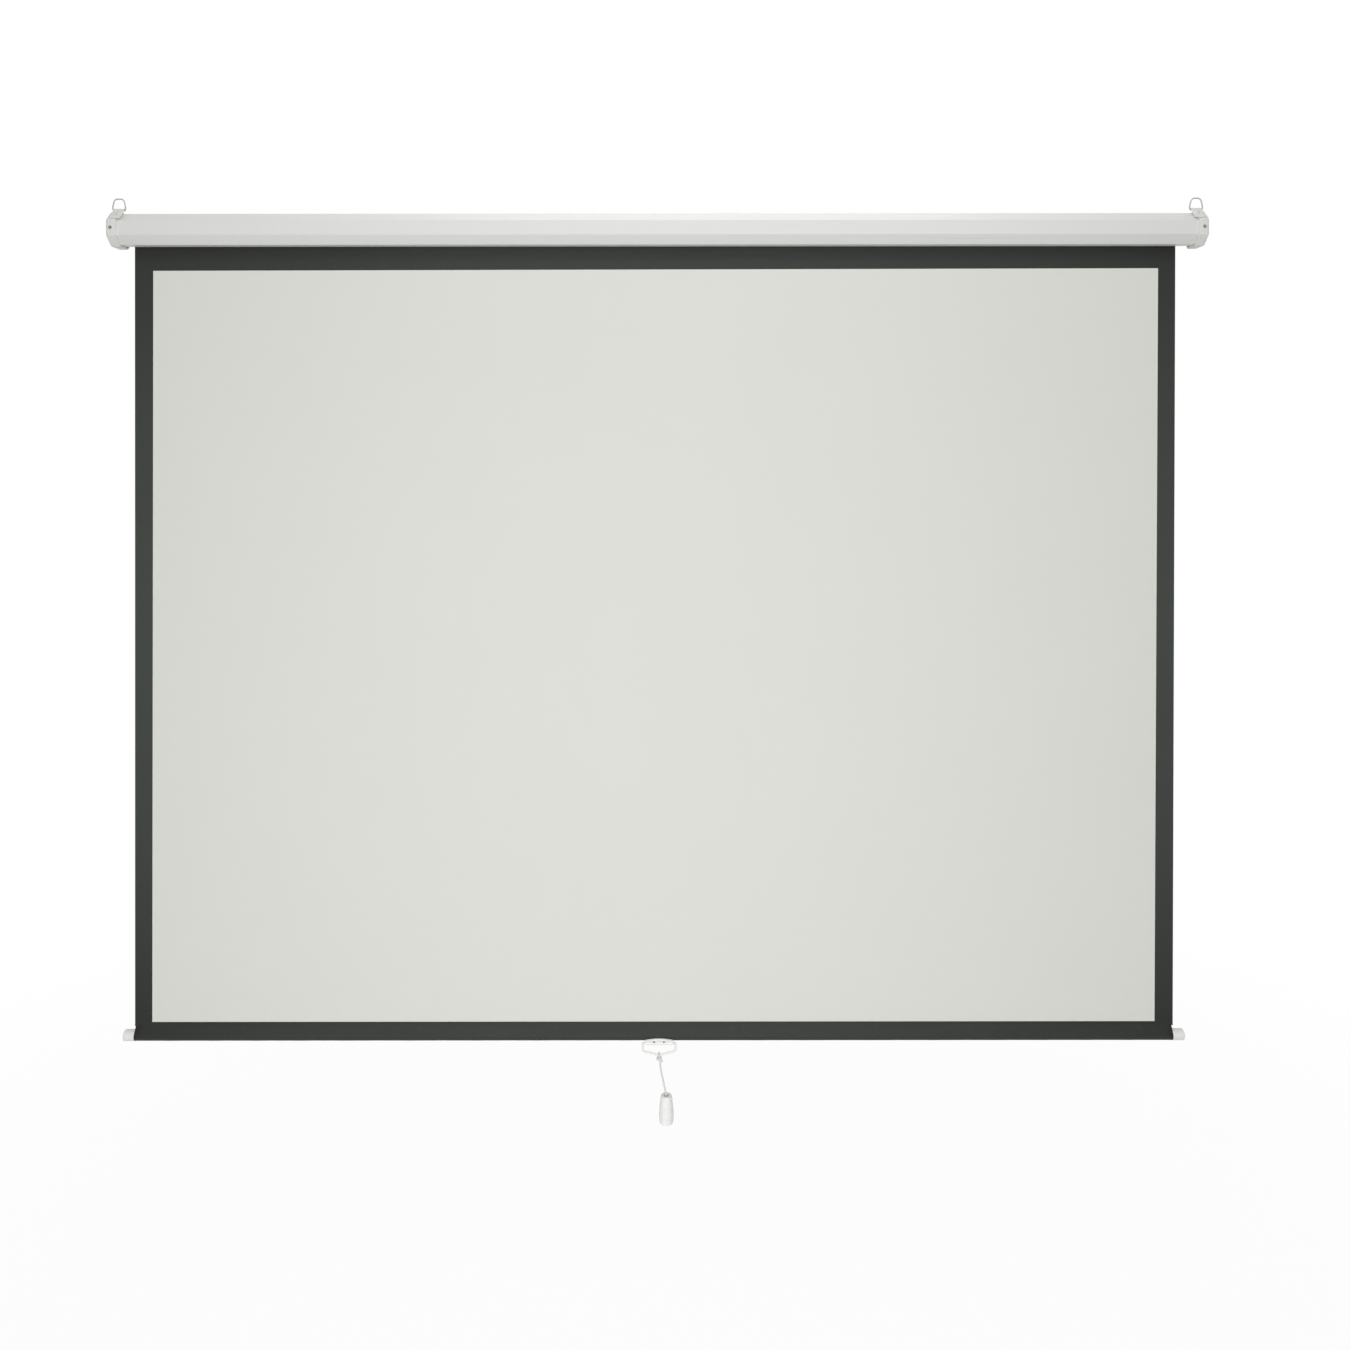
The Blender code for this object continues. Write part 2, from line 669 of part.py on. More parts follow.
def roller():
    """Everything that turns on the roller's axis."""
    axis = pivot("roller_axis", (0, ROLLER_Y, 0))
    centre = (0, ROLLER_Y, 0)
    bore = TUBE_RADIUS - TUBE_WALL
    tube = turned("roller_tube", ring(bore, TUBE_RADIUS, TUBE_LEFT, TUBE_RIGHT), centre, ALONG_X,
                  "bright_steel", closed=True)
    roll = turned("fabric_roll", ring(TUBE_RADIUS + GAP, ROLL_RADIUS, SCREEN_LEFT, SCREEN_RIGHT), centre,
                  ALONG_X, "screen_black", closed=True)
    fit = bore - GAP
    flange_left = TUBE_LEFT - GAP - FLANGE
    idler = [
        (0, TUBE_LEFT + PLUG_DEPTH),
        (fit, TUBE_LEFT + PLUG_DEPTH),
        (fit, TUBE_LEFT - GAP),
        (TUBE_RADIUS, TUBE_LEFT - GAP),
        (TUBE_RADIUS, flange_left),
        (PIN_RADIUS, flange_left),
        (PIN_RADIUS, -BRACKET_FACE - PIN_PAST_BRACKET),
        (0, -BRACKET_FACE - PIN_PAST_BRACKET),
    ]
    plug = turned("idler_plug", idler, centre, ALONG_X, "nylon")
    bush_out = SHAFT_RADIUS + GAP + SHAFT_BUSH_WALL
    head_profile = [
        (TUBE_RADIUS, HEAD_FACE),
        (TUBE_RADIUS, TUBE_RIGHT + GAP),
        (fit, TUBE_RIGHT + GAP),
        (fit, TUBE_RIGHT - PLUG_DEPTH),
        (bush_out + GAP, TUBE_RIGHT - PLUG_DEPTH),
        (bush_out + GAP, HEAD_FACE),
    ]
    head = turned("roller_head", head_profile, centre, ALONG_X, "nylon", closed=True)
    bush_profile = ring(SHAFT_RADIUS + GAP, bush_out, HEAD_FACE - SHAFT_BUSH_LENGTH, HEAD_FACE - GAP)
    bush = turned("shaft_bush", bush_profile, centre, ALONG_X, "nylon", closed=True, steps=SMALL_STEPS)
    carry(axis, tube, roll, plug, head, bush)
    for name, turn in (("a", 1), ("b", -1)):
        y = ROLLER_Y + turn * PAWL_PIVOT[0]
        z = turn * PAWL_PIVOT[1]
        low = HEAD_FACE - PAWL_PIN_DEPTH
        seat = hole(f"pawl_pin_hole_{name}", (HEAD_FACE, y, z), ALONG_X, PAWL_PIN + GAP,
                    2 * (PAWL_PIN_DEPTH + GAP))
        boolean(head, "DIFFERENCE", seat)
        shoulder = RATCHET_LOW + PAWL_THICKNESS + GAP
        profile = [
            (0, shoulder + PAWL_PIN),
            (PAWL_PIN_HEAD, shoulder + PAWL_PIN),
            (PAWL_PIN_HEAD, shoulder),
            (PAWL_PIN, shoulder),
            (PAWL_PIN, low),
            (0, low),
        ]
        pin = turned(f"pawl_pin_{name}", profile, (0, y, z), ALONG_X, "bright_steel", steps=SMALL_STEPS)
        carry(axis, pin)
        pawl(name, turn, y, z)
    return axis


def pawl(name, turn, y, z):
    """A pawl just clear of the ratchet wheel's notch."""
    outline = [(ROLLER_Y + turn * u, turn * v) for u, v in PAWL_OUTLINE]
    bore = arc((y, z), PAWL_PIN + GAP, 0, 330, 11)
    low = RATCHET_LOW
    piece = prism(f"pawl_{name}", [outline, bore], low, low + PAWL_THICKNESS, "spring_steel")
    carry(pivot(f"pawl_{name}_axis", (low, y, z)), piece)


def spring_works():
    """The fixed shaft, its anchor, the torsion spring, the ratchet wheel and the idler's bush."""
    centre = (0, ROLLER_Y, 0)
    shaft = turned("spring_shaft", rod(SHAFT_RADIUS, SHAFT_LOW, SPEAR_HIGH), centre, ALONG_X,
                   "bright_steel", steps=SMALL_STEPS)
    for name, way in (("front", -1), ("rear", 1)):
        near = ROLLER_Y + way * SPEAR_THICKNESS / 2
        tall = SHAFT_RADIUS + CUT
        far = ROLLER_Y + way * tall
        flat = [(near, -tall), (far, -tall), (far, tall), (near, tall)]
        tool = prism(f"spear_flat_{name}", [flat], SPEAR_LOW, SPEAR_HIGH + CUT, "nylon")
        boolean(shaft, "DIFFERENCE", tool)
    fit = SHAFT_RADIUS + GAP
    turned("spring_anchor", ring(fit, ANCHOR_RADIUS, SHAFT_LOW + GAP, SHAFT_LOW + ANCHOR_LENGTH), centre,
           ALONG_X, "zinc_plate", closed=True)
    low = SHAFT_LOW + ANCHOR_LENGTH / 3
    high = TUBE_RIGHT - PLUG_DEPTH - SPRING_WIRE - GAP
    count = SPRING_TURNS * SPRING_POINTS
    points = []
    for i in range(count + 1):
        angle = math.tau * i / SPRING_POINTS
        x = low + (high - low) * i / count
        points.append((x, SPRING_RADIUS * math.cos(angle), SPRING_RADIUS * math.sin(angle)))
    gap = least_gap(points, SPRING_WIRE, SPRING_POINTS // 2)
    print(f"least gap between the spring's turns {1000 * gap:.2f} mm")
    coil = wire("torsion_spring", points, SPRING_WIRE, "spring_steel", resolution=1)
    coil.location = centre
    disc = [(ROLLER_Y + u, v) for u, v in arc((0, 0), RATCHET_RADIUS, 0, 350, 35)]
    bore = [(ROLLER_Y + u, v) for u, v in arc((0, 0), fit, 0, 345, 23)]
    high = RATCHET_LOW + RATCHET_THICKNESS
    wheel = prism("ratchet_wheel", [disc, bore], RATCHET_LOW, high, "spring_steel")
    for name, turn in (("a", 1), ("b", -1)):
        notch = [(ROLLER_Y + turn * u, turn * v) for u, v in RATCHET_NOTCH]
        tool = prism(f"notch_{name}", [notch], RATCHET_LOW - CUT, high + CUT, "nylon")
        boolean(wheel, "DIFFERENCE", tool)
    inner = PIN_RADIUS + GAP
    outer = inner + BUSH_WALL
    plate_low = -BRACKET_FACE
    plate_high = -BRACKET_FACE + BRACKET_PLATE
    profile = [
        (outer + BUSH_COLLAR, plate_high + GAP + BUSH_COLLAR_THICKNESS),
        (outer + BUSH_COLLAR, plate_high + GAP),
        (outer, plate_high + GAP),
        (outer, plate_low - BUSH_COLLAR_THICKNESS),
        (inner, plate_low - BUSH_COLLAR_THICKNESS),
        (inner, plate_high + GAP + BUSH_COLLAR_THICKNESS),
    ]
    turned("idler_bush", profile, centre, ALONG_X, "nylon", closed=True)


def box(name, low, high, look):
    mesh = bpy.data.meshes.new(name)
    block = bmesh.new()
    bmesh.ops.create_cube(block, size=1)
    size = Vector(high) - Vector(low)
    bmesh.ops.scale(block, verts=block.verts, vec=size)
    bmesh.ops.translate(block, verts=block.verts, vec=(Vector(high) + Vector(low)) / 2)
    block.to_mesh(mesh)
    block.free()
    return add(name, mesh, look)


def screen():
    """The black backed fabric with its borders, and the white viewing surface on its front."""
    front = SHEET_Y - BACKING_THICKNESS / 2
    rear = SHEET_Y + BACKING_THICKNESS / 2
    box("screen_backing", (SCREEN_LEFT, front, BACKING_END), (SCREEN_RIGHT, rear, 0), "screen_black")
    left = SCREEN_LEFT + SIDE_BORDER
    right = SCREEN_RIGHT - SIDE_BORDER
    low = (left, front - GAP - SURFACE_THICKNESS, PICTURE_BOTTOM)
    box("viewing_surface", low, (right, front - GAP, PICTURE_TOP), "screen_white")


def saddle_screw_place(sign, distance):
    """A point on a saddle screw's axis, at that distance from the bar's axis."""
    angle = math.radians(SADDLE_SCREW_AT)
    x = HANDLE_X + sign * SADDLE_SCREW_SPREAD
    return x, SHEET_Y + distance * math.cos(angle), BAR_Z + distance * math.sin(angle)


def saddle_screw_hole(name, sign):
    place = saddle_screw_place(sign, SADDLE_INSIDE)
    tilt = (math.radians(SADDLE_SCREW_AT - 90), 0, 0)
    return hole(name, place, tilt, SADDLE_SCREW[2] + GAP, 2 * CUT)


def bottom_bar():
    """The weight bar in its hem pocket, with a plug in each end."""
    rest = pivot("bottom_bar_slide", (SCREEN_MIDDLE, SHEET_Y, BAR_Z))
    centre = (0, SHEET_Y, BAR_Z)
    inner = BAR_RADIUS - BAR_WALL
    bar = turned("weight_bar", ring(inner, BAR_RADIUS, SCREEN_LEFT, SCREEN_RIGHT), centre, ALONG_X,
                 "bright_steel", closed=True)
    middle = (SHEET_Y, BAR_Z)
    seam = BACKING_END - GAP - BAR_Z
    outline = keyhole(middle, POCKET_RADIUS, 90, seam, POCKET_SEAM, steps=32)
    opening = arc(middle, BAR_RADIUS + GAP, 0, 348.75, 31)
    pocket = prism("hem_pocket", [outline, opening], SCREEN_LEFT, SCREEN_RIGHT, "screen_black")
    for side, sign in (("left", -1), ("right", 1)):
        for piece in (bar, pocket):
            tool = saddle_screw_hole(f"{piece.name}_hole_{side}", sign)
            boolean(piece, "DIFFERENCE", tool)
    smooth(pocket)
    carry(rest, bar, pocket)
    for side, sign, edge in (("left", -1, SCREEN_LEFT), ("right", 1, SCREEN_RIGHT)):
        outer = sign * BAR_CAP_LENGTH
        start = sign * GAP
        profile = [
            (0, outer),
            (BAR_CAP_RADIUS - BAR_CAP_EDGE, outer),
            (BAR_CAP_RADIUS - BAR_CAP_EDGE * 0.3, outer - sign * BAR_CAP_EDGE * 0.3),
            (BAR_CAP_RADIUS, outer - sign * BAR_CAP_EDGE),
            (BAR_CAP_RADIUS, start),
            (inner - GAP, start),
            (inner - GAP, start - sign * BAR_CAP_SPIGOT),
            (0, start - sign * BAR_CAP_SPIGOT),
        ]
        if sign < 0:
            profile.reverse()
        place = (edge, SHEET_Y, BAR_Z)
        plug = turned(f"bar_cap_{side}", profile, place, ALONG_X, "white_plastic")
        carry(rest, plug)
    carry(rest, *saddle())


def saddle():
    """The saddle round the bar's lower front, with its screws and the boss that the handle swings in."""
    middle = (SHEET_Y, BAR_Z)
    outer = SADDLE_INSIDE + SADDLE_WALL
    outline = arc(middle, SADDLE_INSIDE, SADDLE_FROM, SADDLE_TO, 16)
    outline += arc(middle, outer, SADDLE_TO, SADDLE_FROM, 16)
    low = HANDLE_X - SADDLE_LENGTH / 2
    high = HANDLE_X + SADDLE_LENGTH / 2
    piece = prism("handle_saddle", [outline], low, high, "white_plastic")
    place = (HANDLE_X, HANDLE_Y, HANDLE_Z)
    half = SADDLE_LENGTH / 2
    boss = turned("saddle_boss", rod(SADDLE_BOSS, -half, half), place, ALONG_X, "white_plastic", steps=20)
    boolean(piece, "UNION", boss)
    top_half = SADDLE_TOP_LENGTH / 2
    foot = HANDLE_Z - SADDLE_BOSS - CUT
    shoulder = HANDLE_Z + SADDLE_BOSS
    face = [
        (HANDLE_X - half, foot),
        (HANDLE_X + half, foot),
        (HANDLE_X + half, shoulder),
        (HANDLE_X + top_half, BAR_Z),
        (HANDLE_X - top_half, BAR_Z),
        (HANDLE_X - half, shoulder),
    ]
    bends = [0, 0, SADDLE_SHOULDER_BEND, SADDLE_TOP_BEND, SADDLE_TOP_BEND, SADDLE_SHOULDER_BEND]
    front = SHEET_Y - outer - CUT
    rear = SHEET_Y + outer + CUT
    trim = front_prism("saddle_trim", rounded(face, bends), front, rear, "nylon")
    boolean(piece, "INTERSECT", trim)
    screws = []
    for side, sign in (("left", -1), ("right", 1)):
        seat = (HANDLE_X + sign * half, HANDLE_Y, HANDLE_Z)
        pin_hole = hole(f"handle_pin_hole_{side}", seat, ALONG_X, HANDLE_RADIUS + GAP,
                        2 * (HANDLE_PIN + GAP))
        boolean(piece, "DIFFERENCE", pin_hole)
        boolean(piece, "DIFFERENCE", saddle_screw_hole(f"saddle_hole_{side}", sign))
        tilt = (math.radians(SADDLE_SCREW_AT - 90), 0, 0)
        head = saddle_screw_place(sign, outer + GAP)
        screws.append(screw(f"saddle_screw_{side}", SADDLE_SCREW, head, tilt))
    smooth(piece)
    return [piece, *screws]


def pull_handle():
    axis = pivot("handle_axis", (HANDLE_X, HANDLE_Y, HANDLE_Z))
    half = HANDLE_WIDTH / 2
    inside = SADDLE_LENGTH / 2 - HANDLE_PIN
    corners = [
        (-inside, 0),
        (-half, 0),
        (-half, -HANDLE_SIDE),
        (0, -HANDLE_DROP),
        (half, -HANDLE_SIDE),
        (half, 0),
        (inside, 0),
    ]
    bends = [0, HANDLE_BEND, HANDLE_BEND, HANDLE_BEND, HANDLE_BEND, HANDLE_BEND, 0]
    path = [(x, 0, z) for x, z in rounded(corners, bends, steps=4, closed=False)]
    handle = wire("pull_handle", path, HANDLE_RADIUS, "white_plastic")
    handle.location = axis.location
    carry(axis, handle)


def ellipsoid(name, radii, place, look):
    mesh = bpy.data.meshes.new(name)
    ball = bmesh.new()
    bmesh.ops.create_uvsphere(ball, u_segments=16, v_segments=10, radius=1)
    bmesh.ops.scale(ball, verts=ball.verts, vec=radii)
    ball.to_mesh(mesh)
    ball.free()
    part = add(name, mesh, look)
    part.location = place
    return smooth(part)


def pull_cord():
    """The cord's loop and knot on the handle, the free cord, the grip, and the stop knot inside it."""
    axis = pivot("cord_axis", (HANDLE_X, HANDLE_Y, CORD_Z))
    knot = ellipsoid("cord_knot", KNOT_SIZE, (HANDLE_X, HANDLE_Y, CORD_Z - KNOT_DROP), "cord_white")
    strand = arc((KNOT_LOOP + CORD_RADIUS, 0), CORD_RADIUS, 330, 0, 11)
    loop = turned("knot_loop", strand, axis.location, ALONG_X, "cord_white", closed=True, steps=24)
    boolean(knot, "UNION", loop)
    route = []
    for i in range(CORD_POINTS + 1):
        t = i / CORD_POINTS
        sway = CORD_SWAY * t * t * (3 - 2 * t)
        route.append((CORD_SIDESTEP + sway, 0, -CORD_START - CORD_LENGTH_DOWN * t))
    cord = wire("pull_cord", route, CORD_RADIUS, "cord_white")
    cord.location = (HANDLE_X, HANDLE_Y, CORD_Z)
    top = CORD_Z - GRIP_TOP
    web_low = GRIP_MOUTH_DEPTH + GRIP_WEB
    profile = [
        (GRIP_TOP_RADIUS - GRIP_EDGE, 0),
        (GRIP_TOP_RADIUS, -GRIP_EDGE),
        (GRIP_FOOT_RADIUS, -GRIP_HEIGHT + GRIP_EDGE),
        (GRIP_FOOT_RADIUS - GRIP_EDGE / 2, -GRIP_HEIGHT),
        (GRIP_FOOT_RADIUS - GRIP_WALL, -GRIP_HEIGHT),
        (GRIP_TOP_RADIUS - GRIP_WALL, -web_low),
        (GRIP_HOLE, -web_low),
        (GRIP_HOLE, -GRIP_MOUTH_DEPTH),
        (GRIP_MOUTH_RADIUS, -GRIP_MOUTH_DEPTH),
        (GRIP_MOUTH_RADIUS, 0),
    ]
    grip = turned("pull_grip", profile, (GRIP_X, HANDLE_Y, top), UPRIGHT, "white_plastic", closed=True)
    end = CORD_Z - CORD_END
    stop = ellipsoid("stop_knot", STOP_KNOT, (GRIP_X, HANDLE_Y, end - GAP - STOP_KNOT[2]), "cord_white")
    carry(axis, knot, cord, grip, stop)


def main():
    clear_scene()
    case_shell()
    for side, sign in (("left", -1), ("right", 1)):
        end_cap(side, sign)
        bracket(side, sign)
        hanger(side, sign)
    spring_works()
    roller()
    screen()
    bottom_bar()
    pull_handle()
    pull_cord()
    print(f"travel of the bottom bar {TRAVEL:.4f} m")
    print(f"bottom bar's axis y {SHEET_Y:.5f}, z {BAR_Z:.5f}")
    print(f"handle's axis x {HANDLE_X:.5f}, y {HANDLE_Y:.5f}, z {HANDLE_Z:.5f}, cord's axis z {CORD_Z:.5f}")


main()
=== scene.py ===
"""The looks of a pull down projector screen, laid out as an add-on and run as a script.

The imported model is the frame: each piece takes its place from it and rides on one of its bodies.
Metres, +Z up. X runs along the case and Y towards the wall.
"""

import json
import math

import bmesh
import bpy
from bpy.props import FloatProperty, FloatVectorProperty, PointerProperty
from mathutils import Matrix, Vector


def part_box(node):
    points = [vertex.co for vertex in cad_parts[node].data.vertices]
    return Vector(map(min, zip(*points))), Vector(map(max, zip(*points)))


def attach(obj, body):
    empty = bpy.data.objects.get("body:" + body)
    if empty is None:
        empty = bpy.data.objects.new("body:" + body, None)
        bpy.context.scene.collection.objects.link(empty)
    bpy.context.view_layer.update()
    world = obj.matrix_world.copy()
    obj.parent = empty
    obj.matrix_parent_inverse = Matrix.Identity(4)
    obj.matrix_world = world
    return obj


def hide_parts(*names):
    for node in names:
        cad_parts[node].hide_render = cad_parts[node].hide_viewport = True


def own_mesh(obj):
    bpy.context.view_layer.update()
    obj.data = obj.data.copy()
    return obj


bl_info = {
    "name": "Pull down projector screen",
    "version": (1, 0, 0),
    "blender": (4, 5, 0),
    "location": "View3D > Sidebar > Projector screen",
    "description": "Dresses the working parts of a pull down projector screen, and lights it",
    "category": "Add Mesh",
}

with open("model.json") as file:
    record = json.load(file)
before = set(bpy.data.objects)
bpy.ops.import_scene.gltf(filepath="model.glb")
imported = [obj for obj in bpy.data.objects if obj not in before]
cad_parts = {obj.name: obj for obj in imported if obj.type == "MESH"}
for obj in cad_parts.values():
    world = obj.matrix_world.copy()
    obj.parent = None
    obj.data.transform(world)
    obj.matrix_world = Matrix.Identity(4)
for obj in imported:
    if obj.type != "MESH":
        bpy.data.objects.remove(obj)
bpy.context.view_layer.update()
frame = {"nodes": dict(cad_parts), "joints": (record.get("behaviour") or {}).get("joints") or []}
JOINTS = {joint["name"]: joint for joint in frame["joints"]}
SIDES = (("left", -1), ("right", 1))

# The gap that touching pieces keep, and the distance at which two points are taken for one
GAP = 0.0003
SAME = 1e-6


def joint_place(name):
    """The point that a joint turns about."""
    return Vector(JOINTS[name]["pos_m"])


def box_middle(node):
    low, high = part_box(node)
    return (low + high) / 2


def box_span(node, axis=0):
    """A node's size along X, or along the axis of that number."""
    low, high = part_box(node)
    return high[axis] - low[axis]


CASE_LOW, CASE_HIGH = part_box("case_shell")
CASE_SIZE = box_span("case_shell", 2)
HALF_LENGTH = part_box("end_cap_right")[1].x
SHEET_LOW, SHEET_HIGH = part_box("screen_backing")
PICTURE_LOW, PICTURE_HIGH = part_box("viewing_surface")
BAR_LOW, BAR_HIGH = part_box("weight_bar")
BAR_CENTRE = box_middle("weight_bar")
HANDLE_AXIS = joint_place("handle_swing")
CORD_AXIS = joint_place("cord_swing")

# Spacing of the screen fabric's threads, and length and number of the cord's crossings
THREAD = 0.0007
BRAID_LENGTH = 0.0034
BRAID_STRANDS = 4

# Side of the hanging sheets' cells
CLOTH_CELL = 0.025

# The screws' proportions: to the radius of the head, and the recess's depth to its height
HOLE_RADIUS = 0.6
HEAD_HEIGHT = 0.62
SHANK_RADIUS = 0.55
RECESS_WIDTH = 0.13
RECESS_REACH = 0.62
RECESS_TAPER = 0.72
RECESS_DEPTH = 0.55

# The hangers' eyes: where the plate bends up to them, in radii, the bend, and the turn in degrees
EYE_KNEE = 2.1
KNEE_BEND = 0.003
EYE_TURN = 285

# The knot round the handle, from the cord's axis: its cut end, its wraps, the way up to the loop
# over the handle, and the way down through the wraps
KNOT_END = ((0.0066, -0.0022, -0.0118), (0.0056, -0.0028, -0.0098))
KNOT_WRAPS = 2
KNOT_WRAP_RADII = (0.003625, 0.00261)
KNOT_WRAP_FROM = -0.0088
KNOT_WRAP_RISE = 0.0046
KNOT_UP = (0.0012, -0.0040, -0.0024)
KNOT_DOWN = ((-0.0006, 0.0024, -0.0046), (0.0004, 0.0008, -0.0068))
KNOT_OUT = (-0.0090, -0.0136)

# The grip's belly: distance down as a share of its height, and radius as a share of its largest
GRIP_BELLY = ((0.10, 0.80), (0.25, 0.875), (0.40, 0.935), (0.55, 0.98), (0.70, 1.0),
              (0.84, 0.985))
GRIP_TOP = 0.75
GRIP_FOOT = 0.93
GRIP_CHAMFER = 0.0004


def length(name, default, description):
    """A length that a user can change."""
    return FloatProperty(name=name, description=description, default=default, min=0, precision=5,
                         unit="LENGTH")


def angle(name, degrees, description):
    """An angle that a user can change."""
    return FloatProperty(name=name, description=description, default=math.radians(degrees),
                         subtype="ANGLE")


def share(name, default, description):
    """A plain number that a user can change."""
    return FloatProperty(name=name, description=description, default=default, min=0)


def power(name, default, description):
    """A lamp's power that a user can change."""
    return FloatProperty(name=name, description=description, default=default, subtype="POWER")


def colour(name, default, description):
    """A colour that a user can change."""
    return FloatVectorProperty(name=name, description=description, default=default, size=3, min=0,
                               max=1, subtype="COLOR")


class CaseSizes(bpy.types.PropertyGroup):
    """Sizes of the case, its caps and its hangers."""

    chamfer: length("Chamfer", 0.017, "Height and depth of the case's chamfers")
    wall: length("Sheet", 0.001, "Thickness of the case's steel sheet")
    bend: length("Bend", 0.0025, "Outer radius of the case's bends")
    slot_width: length("Slot", 0.015, "Width of the slot that the screen leaves by")
    slot_setback: length("Slot setback", 0.009, "From the case's back to the slot")
    hem: length("Hem", 0.003, "Height of the hems along the slot")
    hem_bend: length("Hem bend", 0.0012, "Outer radius of the hems' bends")
    cap_proud: length("Cap proud", 0.004, "How far the end caps stand out from the case")
    cap_skirt: length("Cap skirt", 0.020, "Length of the end caps along the case")
    cap_plate: length("Cap plate", 0.003, "Thickness of the end caps' end walls")
    cap_bend: length("Cap bend", 0.0028, "Radius of the end caps' long edges")
    cap_rounding: length("Cap rounding", 0.005, "Radius round the end caps' ends")
    cap_lip: length("Cap lip", 0.0008, "Radius round the end caps' open rims")
    panel_rim: length("Panel rim", 0.0035, "Width of the rim round the caps' end panels")
    panel_depth: length("Panel depth", 0.0005, "Depth of the caps' end panels")
    hanger_plate: length("Hanger sheet", 0.0011, "Thickness of the hanger plates")
    hanger_length: length("Hanger length", 0.0278, "From a hanger's eye to its plate's lower end")
    hanger_corner: length("Hanger corner", 0.004, "Radius of the hanger plates' lower corners")
    hanger_inset: length("Hanger inset", 0.0022, "How far the hangers stand in from their joints")
    ring_wire: length("Ring wire", 0.0013, "Radius of the rings' wire")
    ring_top: length("Ring top", 0.0184, "Width of the rings at their tops")
    ring_top_bend: length("Ring top bend", 0.0078, "Radius of the rings' upper bends")
    ring_foot: length("Ring foot", 0.0065, "Height of the rings' straight feet")
    ring_taper: length("Ring taper", 0.0003, "How far the rings' feet lean in at their tops")
    ring_base_bend: length("Ring base bend", 0.0020, "Radius of the rings' lower bends")


class ScreenSizes(bpy.types.PropertyGroup):
    """Sizes of the screen, its bar, the saddle, the handle, the cord and the grip."""

    ripple: length("Ripple", 0.0004, "How far the hanging fabric waves out of its plane")
    ripple_width: length("Ripple width", 0.52, "Distance between the fabric's waves")
    lesser_ripple: length("Lesser ripple", 0.31, "Distance between its smaller waves")
    roll_slack: length("Roll slack", 0.0008, "How far the spare turns stay off the hanging sheet")
    roll_slip: length("Roll slip", 0.0006, "How far the spare turns' edges are out of line")
    trim: length("Trim", 0.0021, "How far the coating stops short of the picture's sides")
    foot_trim: length("Foot trim", 0.0034, "How far the coating stops short of the picture's foot")
    lean: length("Lean", 0.0030, "How far the picture's sides lean out of true at their ends")
    slant: length("Slant", 0.0018, "How far the picture's upper edge slants at its ends")
    sheet_lean: length("Sheet lean", 0.0020, "How far the sheet's sides lean out of true")
    pocket_fabric: length("Pocket fabric", 0.0006, "Thickness of the hem pocket's fabric")
    pucker: length("Pucker", 0.00015, "How far the pocket puckers out and in")
    pocket_short: length("Pocket short", 0.0052, "From the pocket's right end to the bar's")
    lap: length("Lap", 0.0015, "How far the screen laps over the pocket's seam")
    cap_edge: length("Bar cap edge", 0.003, "Radius round the bar caps' ends")
    cap_dish: length("Bar cap dish", 0.0012, "Depth of the dish in the bar caps' ends")
    cap_trim: length("Right cap trim", 0.004, "How much shorter the bar's right cap is moulded")
    spigot_step: length("Spigot step", 0.0030, "How much smaller the bar caps' spigots are")
    saddle_wall: length("Saddle wall", 0.0035, "Thickness of the saddle")
    saddle_from: angle("Saddle start", -178, "Where the saddle starts round the bar")
    saddle_to: angle("Saddle end", -60, "Where the saddle ends round the bar")
    saddle_crown: angle("Saddle crown", 8, "How far round the saddle's edge starts at its middle")
    saddle_arch: angle("Saddle arch", 22, "How much further round it starts at its ends")
    saddle_boss: length("Saddle boss", 0.0034, "Radius of the boss that the handle swings in")
    boss_edge: length("Boss edge", 0.0005, "Radius round the boss's ends")
    socket_depth: length("Socket depth", 0.0063, "Depth of the sockets for the handle's ends")
    screw_angle: angle("Saddle screws", -140, "Where the saddle's screws are round the bar")
    handle_wire: length("Handle wire", 0.0022, "Radius of the pull handle's bar")
    handle_side: length("Handle side", 0.016, "Height of the handle's straight sides")
    handle_bend: length("Handle bend", 0.004, "Radius of the handle's bends")
    handle_pin: length("Handle pin", 0.006, "How far the handle's ends reach into the saddle")
    cord: length("Cord", 0.0035, "Diameter of the cord")
    sidestep: length("Cord start", 0.0020, "Where the cord leaves the knot, off its middle")
    grip_edge: length("Grip edge", 0.0018, "Radius round the grip's ends")
    grip_wall: length("Grip wall", 0.002, "Thickness of the grip's skirt")
    grip_mouth: length("Grip mouth", 0.005, "Radius of the hole in the grip's top")
    grip_mouth_depth: length("Grip mouth depth", 0.008, "Depth of the hole in the grip's top")
    grip_web: length("Grip web", 0.005, "Thickness of the web that holds the cord")
    grip_hole: length("Grip hole", 0.0024, "Radius of the cord's hole through the web")


